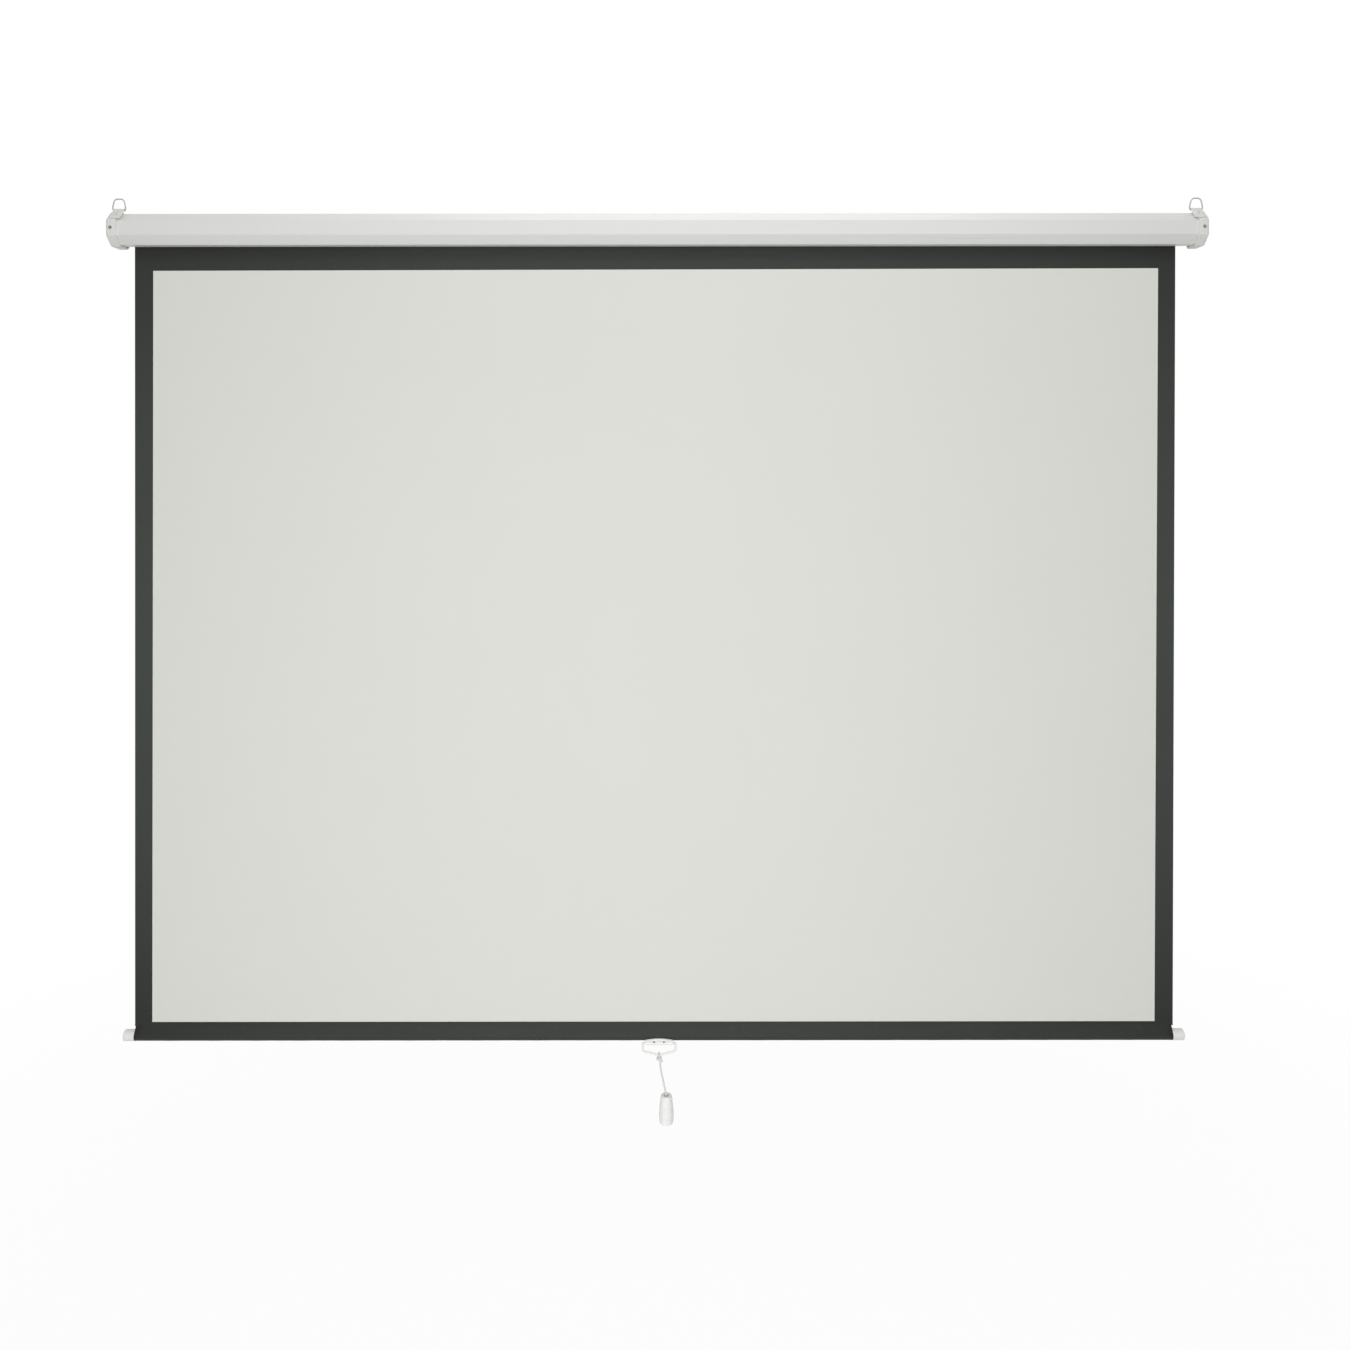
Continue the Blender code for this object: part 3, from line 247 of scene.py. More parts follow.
class ScreenColours(bpy.types.PropertyGroup):
    """Colours of the finishes."""

    enamel: colour("Enamel", (0.775, 0.775, 0.757), "The case's enamel")
    cap: colour("Cap", (0.770, 0.772, 0.742), "The end caps' plastic")
    hanger: colour("Hanger", (0.760, 0.762, 0.734), "The hanger plates' paint")
    picture: colour("Picture", (0.760, 0.770, 0.722), "The screen's white viewing surface")
    border: colour("Border", (0.0485, 0.0540, 0.0470), "The screen's black fabric")
    plastic: colour("Plastic", (0.860, 0.860, 0.840), "The bar caps' plastic")
    cord: colour("Cord", (0.860, 0.860, 0.840), "The braided cord")
    handle: colour("Handle", (0.930, 0.930, 0.915), "The saddle, the handle and the grip")
    screw: colour("Screw", (0.020, 0.020, 0.021), "The blackened screws")
    # Painted shade for the floors of the painted screws' recesses
    dirt: colour("Recess_shade", (0.140, 0.136, 0.125), "The dirt in the painted screws' recesses")
    steel: colour("Steel", (0.620, 0.620, 0.620), "Bright steel")
    ring: colour("Ring", (0.400, 0.400, 0.392), "The rings' wire")
    zinc: colour("Zinc", (0.600, 0.600, 0.575), "Zinc plated steel")
    spring: colour("Spring", (0.300, 0.300, 0.310), "Oiled spring steel")
    nylon: colour("Nylon", (0.820, 0.805, 0.745), "Natural nylon")
    floor: colour("Floor", (0.680, 0.680, 0.680), "The floor")


class StudioSettings(bpy.types.PropertyGroup):
    """The camera and the lamps."""

    camera: FloatVectorProperty(name="Camera", description="Where the camera stands", size=3,
                                default=(0.0342, -2.168, -0.452), subtype="TRANSLATION")
    lens: FloatProperty(name="Lens", description="The camera's lens in millimetres", default=28.39,
                        unit="CAMERA")
    rise: FloatProperty(name="Rise", description="The camera's vertical shift", default=-0.1594)
    roll: angle("Roll", 0.05, "How far the camera leans to its side")
    dip: angle("Dip", 0.215, "How far the camera looks down")
    floor_drop: length("Floor", 2.3, "How far the floor lies below the case's middle")
    floor_size: length("Floor size", 12, "Half the floor's width")
    room_light: share("Room light", 0.42, "Strength of the light that comes from all round")
    front_lamp: power("Front lamp", 36.0, "Power of the lamp before the screen")
    upper_lamp: power("Upper lamp", 9.5, "Power of the lamp above the case")
    top_lamp: power("Top lamp", 8.0, "Power of the lamp over the case")
    low_lamp: power("Low lamp", 0.10, "Power of the lamp below the grip")
    shadow_share: share("Shadow share", 0.04, "How much of the floor's shadow shows")


class Value:
    """An output of a node. Sums on it add Math nodes."""

    def __init__(self, nodes, socket):
        self.nodes = nodes
        self.socket = socket

    def math(self, operation, *terms):
        return self.nodes.node("Math", {"operation": operation}, dict(enumerate(terms)))

    def __add__(self, other):
        return self.math("ADD", self, other)

    def __sub__(self, other):
        return self.math("SUBTRACT", self, other)

    def __rsub__(self, other):
        return self.math("SUBTRACT", other, self)

    def __mul__(self, other):
        return self.math("MULTIPLY", self, other)

    def __truediv__(self, other):
        return self.math("DIVIDE", self, other)

    def __abs__(self):
        return self.math("ABSOLUTE", self)

    __radd__ = __add__
    __rmul__ = __mul__

    def sine(self):
        return self.math("SINE", self)

    def largest(self, other):
        return self.math("MAXIMUM", self, other)

    def step(self, low, high):
        """Rises smoothly from 0 at low to 1 at high."""
        sockets = {"Value": self, "From Min": low, "From Max": high}
        return self.nodes.node("MapRange", {"interpolation_type": "SMOOTHSTEP"}, sockets)


class Nodes:
    """A node tree that expressions add to."""

    def __init__(self, tree):
        self.tree = tree

    def node(self, kind, settings=None, sockets=None, output=0):
        """Adds a node, its settings first and then its sockets. Gives one of its outputs."""
        made = self.tree.nodes.new("ShaderNode" + kind)
        for name, value in (settings or {}).items():
            setattr(made, name, value)
        for name, value in (sockets or {}).items():
            self.feed(made.inputs[name], value)
        return Value(self, made.outputs[output])

    def feed(self, socket, value):
        """Links a value to a socket, or sets the socket to a number or a colour."""
        if isinstance(value, Value):
            self.tree.links.new(value.socket, socket)
        elif socket.type == "RGBA":
            socket.default_value = (*value, 1)
        else:
            socket.default_value = value

    def mix(self, factor, first, second):
        """One colour turning into another."""
        sockets = {"Factor": factor, 6: first, 7: second}
        return self.node("Mix", {"data_type": "RGBA"}, sockets, 2)

    def scaled(self, vector, factors):
        return self.node("VectorMath", {"operation": "MULTIPLY"}, {0: vector, 1: factors})

    def shaded(self, tint, shade):
        """A colour made lighter or darker by a value."""
        return self.node("VectorMath", {"operation": "SCALE"}, {0: tint, "Scale": shade})

    def apart(self, vector):
        """The three numbers of a vector."""
        outputs = self.node("SeparateXYZ", None, {0: vector}).socket.node.outputs
        return [Value(self, outputs[i]) for i in range(3)]


class Look(Nodes):
    """A material, and the expressions that feed its shader."""

    def __init__(self, name, **constants):
        self.material = bpy.data.materials.new(name)
        self.material.use_nodes = True
        super().__init__(self.material.node_tree)
        self.shader = self.tree.nodes["Principled BSDF"]
        for socket, value in constants.items():
            self.feed(self.shader.inputs[socket.replace("_", " ")], value)

    def place(self):
        """Where the surface is, in metres."""
        return self.node("TexCoord", output="Object")

    def facing_up(self):
        """1 where the surface faces straight up, and -1 where it faces down."""
        return self.apart(self.node("TexCoord", output="Normal"))[2]

    def cloth(self):
        """Where the surface is on its own sheet, in metres."""
        return self.node("UVMap", {"uv_map": "flat"})

    def marked(self, name):
        """The number that the mesh holds under that name."""
        return self.node("Attribute", {"attribute_name": name}, None, "Fac")

    def noise(self, scale, detail=2.0, at=None, stretch=None):
        """Clouds of noise, with that many to a metre."""
        vector = at or self.place()
        if stretch:
            vector = self.scaled(vector, stretch)
        return self.node("TexNoise", None, {"Vector": vector, "Scale": scale, "Detail": detail})

    def cells(self, scale):
        """Crystals of even tone."""
        sockets = {"Vector": self.place(), "Scale": scale}
        return self.apart(self.node("TexVoronoi", None, sockets, "Color"))[0]

    def weave(self, across, along):
        """Crossing threads, higher in their middles."""
        warp, weft = [abs((run * (math.pi / THREAD)).sine()) for run in (across, along)]
        return warp.largest(weft)

    def paint(self, tint, shade):
        self.feed(self.shader.inputs["Base Color"], self.shaded(tint, shade))

    def rough(self, value):
        self.feed(self.shader.inputs["Roughness"], value)

    def relief(self, height, depth):
        """Bumps of that depth in metres."""
        sockets = {"Strength": 1.0, "Distance": depth, "Height": height}
        self.feed(self.shader.inputs["Normal"], self.node("Bump", None, sockets, "Normal"))


def enamel_look(name, tint):
    """Satin enamel: orange peel skin, faint blotches, dust on top and hairline rubs along it."""
    look = Look(name, Specular_IOR_Level=0.4)
    blotches = look.noise(2.5, 3.0)
    speckle = look.noise(160.0)
    dust = look.facing_up().step(0.75, 1.0) * look.noise(40.0, 4.0)
    rubs = look.noise(120.0, 3.0, stretch=(0.03, 1.0, 1.0)).step(0.66, 0.74)
    look.paint(tint, 0.985 + 0.03 * blotches - 0.06 * dust - 0.03 * rubs)
    look.rough(0.34 + 0.10 * speckle + 0.25 * dust + 0.08 * rubs)
    look.relief(look.noise(650.0, 1.0), 0.00003)
    return look.material


def moulded_look(name, tint, grain, roughness):
    """Moulded plastic: a spark grained skin, faint flow marks and a few handling marks."""
    look = Look(name, Specular_IOR_Level=0.5)
    flow = look.noise(60.0, 3.0, stretch=(0.4, 1.0, 1.0))
    marks = look.noise(420.0, 4.0).step(0.66, 0.75)
    look.paint(tint, 0.985 + 0.025 * flow - 0.05 * marks)
    look.rough(roughness - 0.05 + 0.10 * flow + 0.10 * marks)
    look.relief(look.noise(2600.0, 1.0), grain)
    return look.material


def picture_look(name, tint):
    """Matte white coating: a fine tooth all over it, the faintest clouding, and faint vertical
    streaks of painted shade for its hanging waves.
    """
    look = Look(name, Specular_IOR_Level=0.2)
    cloth = look.cloth()
    tooth = look.noise(1500.0, 1.0, cloth)
    clouds = look.noise(5.0, 3.0, cloth)
    wave_shade_streaks = look.noise(9.0, 2.0, cloth, (1.0, 0.08, 1.0))
    # The vertical streaks are painted shade standing in for the hanging fabric's waves
    look.paint(tint, 0.975 + 0.02 * tooth + 0.015 * clouds + 0.01 * wave_shade_streaks)
    look.rough(0.78 + 0.10 * tooth)
    look.relief(tooth, 0.00004)
    return look.material


def border_look(name, tint):
    """Black coated fabric: its weave shows through, and it is painted darker towards its corners,
    as shade where the lamp's sheen falls off.
    """
    look = Look(name, Specular_IOR_Level=0.15)
    cloth = look.cloth()
    across, along, _ = look.apart(cloth)
    weave = look.weave(across, along)
    lint = look.noise(900.0, 3.0, cloth).step(0.70, 0.80)
    clouds = look.noise(4.0, 3.0, cloth)
    # Painted shade: darker towards the top and the foot, and most at the corners, where the lamp's
    # sheen falls off
    aside = (across - SHEET_HIGH.x) / SHEET_HIGH.x
    off = (along + (SHEET_LOW.z / 2)) / (SHEET_LOW.z / 2)
    sheen_falloff_shade = off * off * (0.20 + 0.30 * aside * aside)
    look.paint(tint, (0.80 + 0.25 * weave + 0.25 * clouds + 0.9 * lint) * (1 - sheen_falloff_shade))
    look.rough(0.50 + 0.10 * clouds + 0.08 * weave)
    look.relief(weave, 0.00005)
    return look.material


def pocket_look(name, tint):
    """The same fabric, gathered at the seam above the bar and creased along it, with painted shade
    and painted highlights.
    """
    look = Look(name, Specular_IOR_Level=0.25)
    across, _, height = look.apart(look.place())
    weave = look.weave(across, height)
    creases = look.noise(70.0, 3.0, stretch=(0.12, 1.0, 1.0))
    clouds = look.noise(4.0, 3.0)
    seam = (height - SHEET_LOW.z).step(-0.013, -0.002)
    # The gathers are bumps, and are also painted lighter: a painted highlight along them
    gathers_and_highlights = seam * look.noise(90.0, 1.0, stretch=(1.0, 0.04, 0.04)).step(0.60, 0.75)
    # Painted shade: darker towards the pocket's ends, where the lamp's sheen falls off
    aside = across / SHEET_HIGH.x
    sheen_falloff_shade = 0.38 * aside * aside * aside * aside
    # The base tone is painted about half the border's: a shaded copy of the same fabric
    look.paint(tint, (0.43 + 0.14 * weave + 0.13 * clouds + 0.16 * gathers_and_highlights) * (1 - sheen_falloff_shade))
    look.rough(0.46 + 0.16 * creases)
    look.relief(weave + 6.0 * creases + 6.0 * gathers_and_highlights, 0.00005)
    return look.material


def cord_look(name, tint):
    """Braided cord: two sets of strands that cross round it, with painted shade where they dip."""
    look = Look(name, Specular_IOR_Level=0.2)
    along, around, _ = look.apart(look.cloth())
    lay = along * (math.tau / BRAID_LENGTH)
    turns = around * (math.tau * BRAID_STRANDS)
    strands = (lay + turns).sine().largest((lay - turns).sine())
    fuzz = look.noise(2500.0, 3.0)
    # Painted shade: the dips between the strands are painted darker
    look.paint(tint, 0.90 + 0.08 * strands + 0.06 * fuzz)
    look.rough(0.75 + 0.15 * fuzz)
    look.relief(strands + 0.5 * fuzz, 0.00018)
    return look.material


def drawn_look(name, tint, roughness, stretch):
    """Drawn or turned bright metal: fine lines along it, and a light bloom."""
    look = Look(name, Metallic=1.0)
    lines = look.noise(1500.0, 2.0, stretch=stretch)
    bloom = look.noise(25.0, 4.0)
    look.paint(tint, 0.90 + 0.10 * lines + 0.08 * bloom)
    look.rough(roughness - 0.06 + 0.12 * lines + 0.10 * bloom)
    look.relief(lines, 0.00002)
    return look.material


def zinc_look(name, tint):
    """Zinc plate: patches of crystal, dull where they have bloomed."""
    look = Look(name, Metallic=0.9)
    crystal = look.cells(260.0)
    bloom = look.noise(35.0, 4.0)
    look.paint(tint, 0.86 + 0.12 * crystal + 0.10 * bloom)
    look.rough(0.30 + 0.14 * crystal + 0.12 * bloom)
    look.relief(crystal + bloom, 0.00001)
    return look.material


def black_screw_look(name, tint, bare):
    """Blackened steel, bright in the middle of the head: wear from the driver, and a painted
    glint.
    """
    look = Look(name)
    scuffs = look.noise(1500.0, 3.0)
    # Bare steel in the middle of the head: partly wear, partly a painted glint
    wear_and_glint = (look.marked("worn") * (0.6 + 0.8 * scuffs)).step(0.35, 0.75)
    look.paint(look.mix(wear_and_glint, tint, bare), 0.92 + 0.16 * look.noise(900.0, 4.0))
    look.feed(look.shader.inputs["Metallic"], 0.4 + 0.6 * wear_and_glint)
    look.rough(0.30 + 0.15 * scuffs - 0.06 * wear_and_glint)
    look.relief(look.noise(1800.0), 0.00002)
    return look.material


def painted_screw_look(name, tint, dirt):
    """A screw painted with its plate, with painted shade in its recess."""
    look = Look(name, Specular_IOR_Level=0.4)
    # Painted shade: the recess floor is painted dark where shade falls
    shaded_recess = (look.marked("sunk") * (0.6 + 0.6 * look.noise(1500.0, 3.0))).step(0.1, 0.8)
    look.paint(look.mix(shaded_recess, tint, dirt), 0.98 + 0.04 * look.noise(400.0))
    look.rough(0.36 + 0.40 * shaded_recess)
    look.relief(look.noise(1800.0), 0.00002)
    return look.material


def spring_look(name, tint):
    """Spring steel with a film of oil."""
    look = Look(name, Metallic=1.0, Coat_Weight=0.3, Coat_Roughness=0.15)
    oil = look.noise(90.0, 3.0)
    lines = look.noise(1300.0, 2.0, stretch=(1.0, 0.05, 1.0))
    look.paint(tint, 0.85 + 0.20 * oil + 0.08 * lines)
    look.rough(0.26 + 0.14 * oil)
    look.relief(lines, 0.00001)
    return look.material


# Each finish's material slot, what makes it, the names of its colours, and its settings
FINISHES = {
    "satin_enamel": ("case_enamel", enamel_look, "enamel"),
    "hanger_paint": ("case_enamel", enamel_look, "hanger"),
    "grained_plastic": ("cap_plastic", moulded_look, "cap", 0.00003, 0.46),
    "smooth_plastic": ("white_plastic", moulded_look, "plastic", 0.00001, 0.32),
    "gloss_plastic": ("white_plastic", moulded_look, "handle", 0.00001, 0.30),
    "natural_nylon": ("nylon", moulded_look, "nylon", 0.00001, 0.42),
    "picture_coating": ("screen_white", picture_look, "picture"),
    "border_fabric": ("screen_black", border_look, "border"),
    "pocket_fabric": ("screen_black", pocket_look, "border"),
    "cord_braid": ("cord_white", cord_look, "cord"),
    "drawn_steel": ("bright_steel", drawn_look, "steel", 0.28, (0.02, 1.0, 1.0)),
    "ring_wire": ("bright_steel", drawn_look, "ring", 0.34, (1.0, 1.0, 0.05)),
    "bloomed_zinc": ("zinc_plate", zinc_look, "zinc"),
    "blackened_steel": ("black_screw", black_screw_look, "screw", "steel"),
    "painted_screw": ("black_screw", painted_screw_look, "hanger", "dirt"),
    "oiled_steel": ("spring_steel", spring_look, "spring"),
}


def finish(name):
    """The material of that name, made the first time that it is asked for."""
    _, make, *settings = FINISHES[name]
    colours = bpy.context.scene.screen_colours
    settings = [getattr(colours, s) if isinstance(s, str) else s for s in settings]
    return bpy.data.materials.get(name) or make(name, *settings)


def arc(centre, radius, start, end, steps):
    """Points along an arc, with its angles in degrees."""
    turns = [math.radians(start + (end - start) * i / steps) for i in range(steps + 1)]
    return [(centre[0] + radius * math.cos(a), centre[1] + radius * math.sin(a)) for a in turns]


def rounded(points, radius, steps=8, closed=True):
    """The outline with its corners turned into arcs of that radius, or of one radius each."""
    corners = [Vector(p) for p in points]
    radii = radius if isinstance(radius, (list, tuple)) else [radius] * len(corners)
    out = []
    for i, corner in enumerate(corners):
        ends = not closed and i in (0, len(corners) - 1)
        if ends or radii[i] == 0:
            out.append(tuple(corner))
            continue
        back = (corners[i - 1] - corner).normalized()
        ahead = (corners[(i + 1) % len(corners)] - corner).normalized()
        half = back.angle(ahead) / 2
        start = corner + back * radii[i] / math.tan(half)
        end = corner + ahead * radii[i] / math.tan(half)
        middle = corner + (back + ahead).normalized() * radii[i] / math.sin(half)
        for k in range(steps + 1):
            spoke = (start - middle).slerp(end - middle, k / steps)
            out.append(tuple(middle + spoke * radii[i]))
    return out


def smooth_path(points, steps):
    """A smooth curve through the points, with that many steps between two of them."""
    spots = [points[0] * 2 - points[1], *points, points[-1] * 2 - points[-2]]
    out = []
    for a, b, c, d in zip(spots, spots[1:], spots[2:], spots[3:]):
        for k in range(steps):
            t = k / steps
            bend = (b * 3 - a - c * 3 + d) * t ** 3 + (a * 2 - b * 5 + c * 4 - d) * t ** 2
            out.append(b + 0.5 * (bend + (c - a) * t))
    out.append(points[-1].copy())
    return out


def frame_of(place, axis):
    """A matrix whose Z runs along the axis, at the place."""
    return Matrix.LocRotScale(Vector(place), Vector(axis).to_track_quat("Z", "Y"), None)


def only(kind, geometry):
    """The vertices or the edges of what an operator made."""
    return [g for g in geometry if isinstance(g, kind)]


def row(bm, points, closed=False):
    """Vertices through the points, with edges between them."""
    verts = [bm.verts.new(p) for p in points]
    edges = [bm.edges.new(pair) for pair in zip(verts, verts[1:])]
    if closed:
        edges.append(bm.edges.new((verts[-1], verts[0])))
    return verts, edges


def skinned(bm, rows, closed=False):
    """A skin over rows of points, each with as many points as the others. Gives its end rows."""
    verts, edges = row(bm, rows[0], closed)
    first = edges
    for points in rows[1:]:
        made = bmesh.ops.extrude_edge_only(bm, edges=edges)["geom"]
        fresh = set(only(bmesh.types.BMVert, made))
        edges = [e for e in only(bmesh.types.BMEdge, made) if set(e.verts) <= fresh]
        verts = [next(e.other_vert(v) for e in v.link_edges if e.other_vert(v) in fresh)
                 for v in verts]
        for vert, point in zip(verts, points):
            vert.co = point
    return first, edges


def drawn_out(bm, outline, low, high):
    """An outline in (y, z) drawn along X as an open sheet."""
    skinned(bm, [[(x, y, z) for y, z in outline] for x in (low, high)])


def lofted(bm, loops):
    """A closed body over loops of points, each with as many points as the others."""
    for end in skinned(bm, loops, closed=True):
        bmesh.ops.contextual_create(bm, geom=end)
    bmesh.ops.recalc_face_normals(bm, faces=bm.faces)


def turned(bm, profile, matrix, steps=48, closed=False):
    """A profile of (radius, height) spun round the matrix's Z."""
    verts, edges = row(bm, [matrix @ Vector((r, 0, h)) for r, h in profile], closed)
    axis = matrix.to_3x3() @ Vector((0, 0, 1))
    bmesh.ops.spin(bm, geom=verts + edges, cent=matrix.translation, axis=axis, angle=math.tau,
                   steps=steps, use_merge=True, dvec=(0, 0, 0))
    bmesh.ops.remove_doubles(bm, verts=bm.verts, dist=SAME)
    bmesh.ops.recalc_face_normals(bm, faces=bm.faces)


def swept(bm, path, radius, sides=16, closed=False, round_ends=True):
    """A round bar along a path. Its UV map holds the distance along it and the turn round it."""
    spots = [Vector(p) for p in path]
    radii = [radius] * len(spots)
    if round_ends and not closed:
        spots, radii = with_round_ends(spots, radius)
    count = len(spots)
    flat = bm.loops.layers.uv.new("flat")
    where = {}
    rings = []
    runs = []
    run = 0.0
    turn = None
    heading = None
    for i, spot in enumerate(spots):
        before = spots[i - 1] if i or closed else spot
        after = spots[(i + 1) % count] if i < count - 1 or closed else spot
        along = (after - before).normalized()
        if turn is None:
            turn = along.to_track_quat("Z", "Y")
        else:
            turn = heading.rotation_difference(along) @ turn
        heading = along
        matrix = Matrix.LocRotScale(spot, turn, None)
        circle = bmesh.ops.create_circle(bm, segments=sides, radius=radii[i], matrix=matrix)
        verts = circle["verts"]
        run += (spot - spots[i - 1]).length if i else 0.0
        runs.append(run)
        where.update({vert: (i, k) for k, vert in enumerate(verts)})
        rings.append(list({e for v in verts for e in v.link_edges}))
    pairs = list(zip(rings, rings[1:]))
    if closed:
        pairs.append((rings[-1], rings[0]))
    for before, after in pairs:
        bmesh.ops.bridge_loops(bm, edges=before + after)
    if not closed:
        for ring in (rings[0], rings[-1]):
            bmesh.ops.contextual_create(bm, geom=ring)
    total = run + (spots[0] - spots[-1]).length
    for face in bm.faces:
        corners = [where[loop.vert] for loop in face.loops]
        wraps_along = closed and {0, count - 1} <= {i for i, _ in corners}
        wraps_round = {0, sides - 1} <= {k for _, k in corners}
        for loop, (i, k) in zip(face.loops, corners):
            u = total if wraps_along and i == 0 else runs[i]
            v = 1.0 if wraps_round and k == 0 else k / sides
            loop[flat].uv = (u, v)
    bmesh.ops.recalc_face_normals(bm, faces=bm.faces)


def with_round_ends(spots, radius, steps=5, bulge=0.6, tip=0.12):
    """The path and its radii, with each end rounded over by the bulge down to the tip."""
    turns = [math.radians(90 * k / steps) for k in range(steps + 1)]

    def end(spot, inner):
        inwards = (inner - spot).normalized()
        return [(spot + inwards * radius * (1 - math.sin(a)) * bulge,
                 radius * max(math.cos(a), tip)) for a in turns]

    chain = end(spots[0], spots[1])[::-1] + [(spot, radius) for spot in spots[1:-1]]
    chain += end(spots[-1], spots[-2])
    return [spot for spot, _ in chain], [r for _, r in chain]


def object_of(bm, name):
    """An object of the mesh, in the scene."""
    mesh = bpy.data.meshes.new(name)
    bm.to_mesh(mesh)
    bm.free()
    made = bpy.data.objects.new(name, mesh)
    bpy.context.scene.collection.objects.link(made)
    return made


def piece(name, bm, look, body, nodes=(), crease=35):
    """An object, shaded and finished, that rides on its body in the place of the nodes."""
    made = object_of(bm, name)
    made.data.materials.append(finish(look))
    shade(made, crease)
    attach(made, body)
    if nodes:
        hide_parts(*nodes)
    return made


def shade(made, crease):
    """Smooth shading, with the edges sharper than the crease left sharp."""
    made.data.shade_smooth()
    made.data.set_sharp_from_angle(angle=math.radians(crease))


def change(made, kind, **settings):
    """Adds a modifier with those settings."""
    modifier = made.modifiers.new(kind.lower(), kind)
    for name, value in settings.items():
        setattr(modifier, name, value)


def thicken(made, wall, offset=-1.0):
    """Gives an open sheet its thickness."""
    change(made, "SOLIDIFY", thickness=wall, offset=offset, use_even_offset=True)


def soften(made, width, segments=2, limit=50):
    """Rounds the edges that are sharper than the limit."""
    change(made, "BEVEL", width=width, segments=segments, limit_method="ANGLE",
           angle_limit=math.radians(limit))


def settle(made, crease):
    """Turns an object's modifiers into its mesh."""
    graph = bpy.context.evaluated_depsgraph_get()
    mesh = bpy.data.meshes.new_from_object(made.evaluated_get(graph))
    made.modifiers.clear()
    made.data = mesh
    shade(made, crease)


def combine(made, operation, tools, crease=35):
    """Cuts tools out of an object, or joins them to it, and removes them."""
    settle(made, crease)
    for tool in tools:
        change(made, "BOOLEAN", operation=operation, solver="EXACT", object=tool)
    bpy.context.view_layer.update()
    settle(made, crease)
    for tool in tools:
        bpy.data.objects.remove(tool, do_unlink=True)


def drill(place, axis, radius, reach, steps=32):
    """A round tool centred on the place."""
    bm = bmesh.new()
    profile = [(0, reach), (radius, reach), (radius, -reach), (0, -reach)]
    turned(bm, profile, frame_of(place, axis), steps)
    return object_of(bm, "drill")


def screw_hole(node, axis, reach, steps=32, shift=(0, 0, 0)):
    """The tool that drills the hole under a screw's head."""
    radius = HOLE_RADIUS * box_span(node) / 2
    return drill(box_middle(node) + Vector(shift), axis, radius, reach, steps)


def facing_out(bm, middle):
    """Turns an open sheet so that its faces point away from the middle."""
    bm.normal_update()
    largest = max(bm.faces, key=lambda face: face.calc_area())
    if largest.normal.dot(largest.calc_center_median() - Vector(middle)) < 0:
        bmesh.ops.reverse_faces(bm, faces=bm.faces)


def octagon(sizes, offset):
    """The case's outline in (y, z), moved outwards, from its lower rear corner forwards."""
    half = CASE_SIZE / 2 + offset
    flat = CASE_SIZE / 2 - sizes.chamfer + offset * math.tan(math.radians(22.5))
    corners = [(flat, -half), (-flat, -half), (-half, -flat), (-half, flat),
               (-flat, half), (flat, half), (half, flat), (half, -flat)]
    return [(y - CASE_SIZE / 2, z) for y, z in corners]


def cap_outline(sizes, offset):
    """An end cap's outline, which stops at the case's back where it would stand behind it."""
    outline = octagon(sizes, offset)
    if offset > 0:
        back = outline[6][1] + offset
        outline[6] = (0, back)
        outline[7] = (0, -back)
    return rounded(outline, [sizes.cap_bend] * 6 + [0, 0], steps=6)


def screw(name, node, axis, look, body, shift=(0, 0, 0)):
    """A pan head screw with a cross recess. The axis points out of its head."""
    axis = Vector(axis)
    centre = box_middle(node)
    head = box_span(node) / 2
    height = HEAD_HEIGHT * head
    reach = screw_reach(node, axis, centre)
    deep = reach + screw_reach(node, -axis, centre)
    shank = SHANK_RADIUS * head
    turns = [math.radians(a) for a in range(0, 91, 10)]
    profile = [(head * math.sin(a), height * (0.28 + 0.72 * math.cos(a))) for a in turns]
    profile += [(head, 0.1 * height), (0.94 * head, 0), (shank, 0)]
    profile += [(shank, height - deep + shank), (0, height - deep)]
    bm = bmesh.new()
    worn = bm.verts.layers.float.new("worn")
    sunk = bm.verts.layers.float.new("sunk")
    turned(bm, profile, Matrix(), 36)
    floor = cross_recess(bm, head, height)
    for vert in bm.verts:
        off = math.hypot(vert.co.x, vert.co.y) / head
        # The middle of the head is marked for wear and for a painted glint of bare steel
        vert[worn] = min(1.0, max(0.0, (RECESS_REACH - off) / 0.2)) if vert.co.z > 0 else 0.0
        vert[sunk] = 1.0 if vert in floor else 0.0
    bm.transform(frame_of(centre + axis * (reach - height) + Vector(shift), axis))
    return piece(name, bm, look, body, [node])


def screw_reach(node, axis, centre):
    """How far a node reaches from a centre along an axis."""
    return max((v.co - centre).dot(axis) for v in frame["nodes"][node].data.vertices)


def cross_recess(bm, head, height):
    """Sinks a cross into the dome of a screw's head, and gives the vertices of its floor."""
    narrow = RECESS_WIDTH * head
    wide = RECESS_REACH * head
    for reach in (-wide, -narrow, narrow, wide):
        for normal in ((1, 0, 0), (0, 1, 0)):
            geometry = bm.verts[:] + bm.edges[:] + bm.faces[:]
            bmesh.ops.bisect_plane(bm, geom=geometry, dist=1e-7, plane_co=Vector(normal) * reach,
                                   plane_no=normal)
    inside = []
    for face in bm.faces:
        spot = face.calc_center_median()
        thin, long = sorted((abs(spot.x), abs(spot.y)))
        if thin < narrow and long < wide and spot.z > 0.3 * height:
            inside.append(face)
    made = bmesh.ops.extrude_face_region(bm, geom=inside)["geom"]
    bmesh.ops.delete(bm, geom=inside, context="FACES_ONLY")
    floor = set(only(bmesh.types.BMVert, made))
    for vert in floor:
        x, y, z = vert.co
        vert.co = Vector((x * RECESS_TAPER, y * RECESS_TAPER, z - RECESS_DEPTH * height))
    bmesh.ops.recalc_face_normals(bm, faces=bm.faces)
    return floor


class ScreenOperator:
    """What the operators share."""

    bl_options = {"REGISTER", "UNDO"}


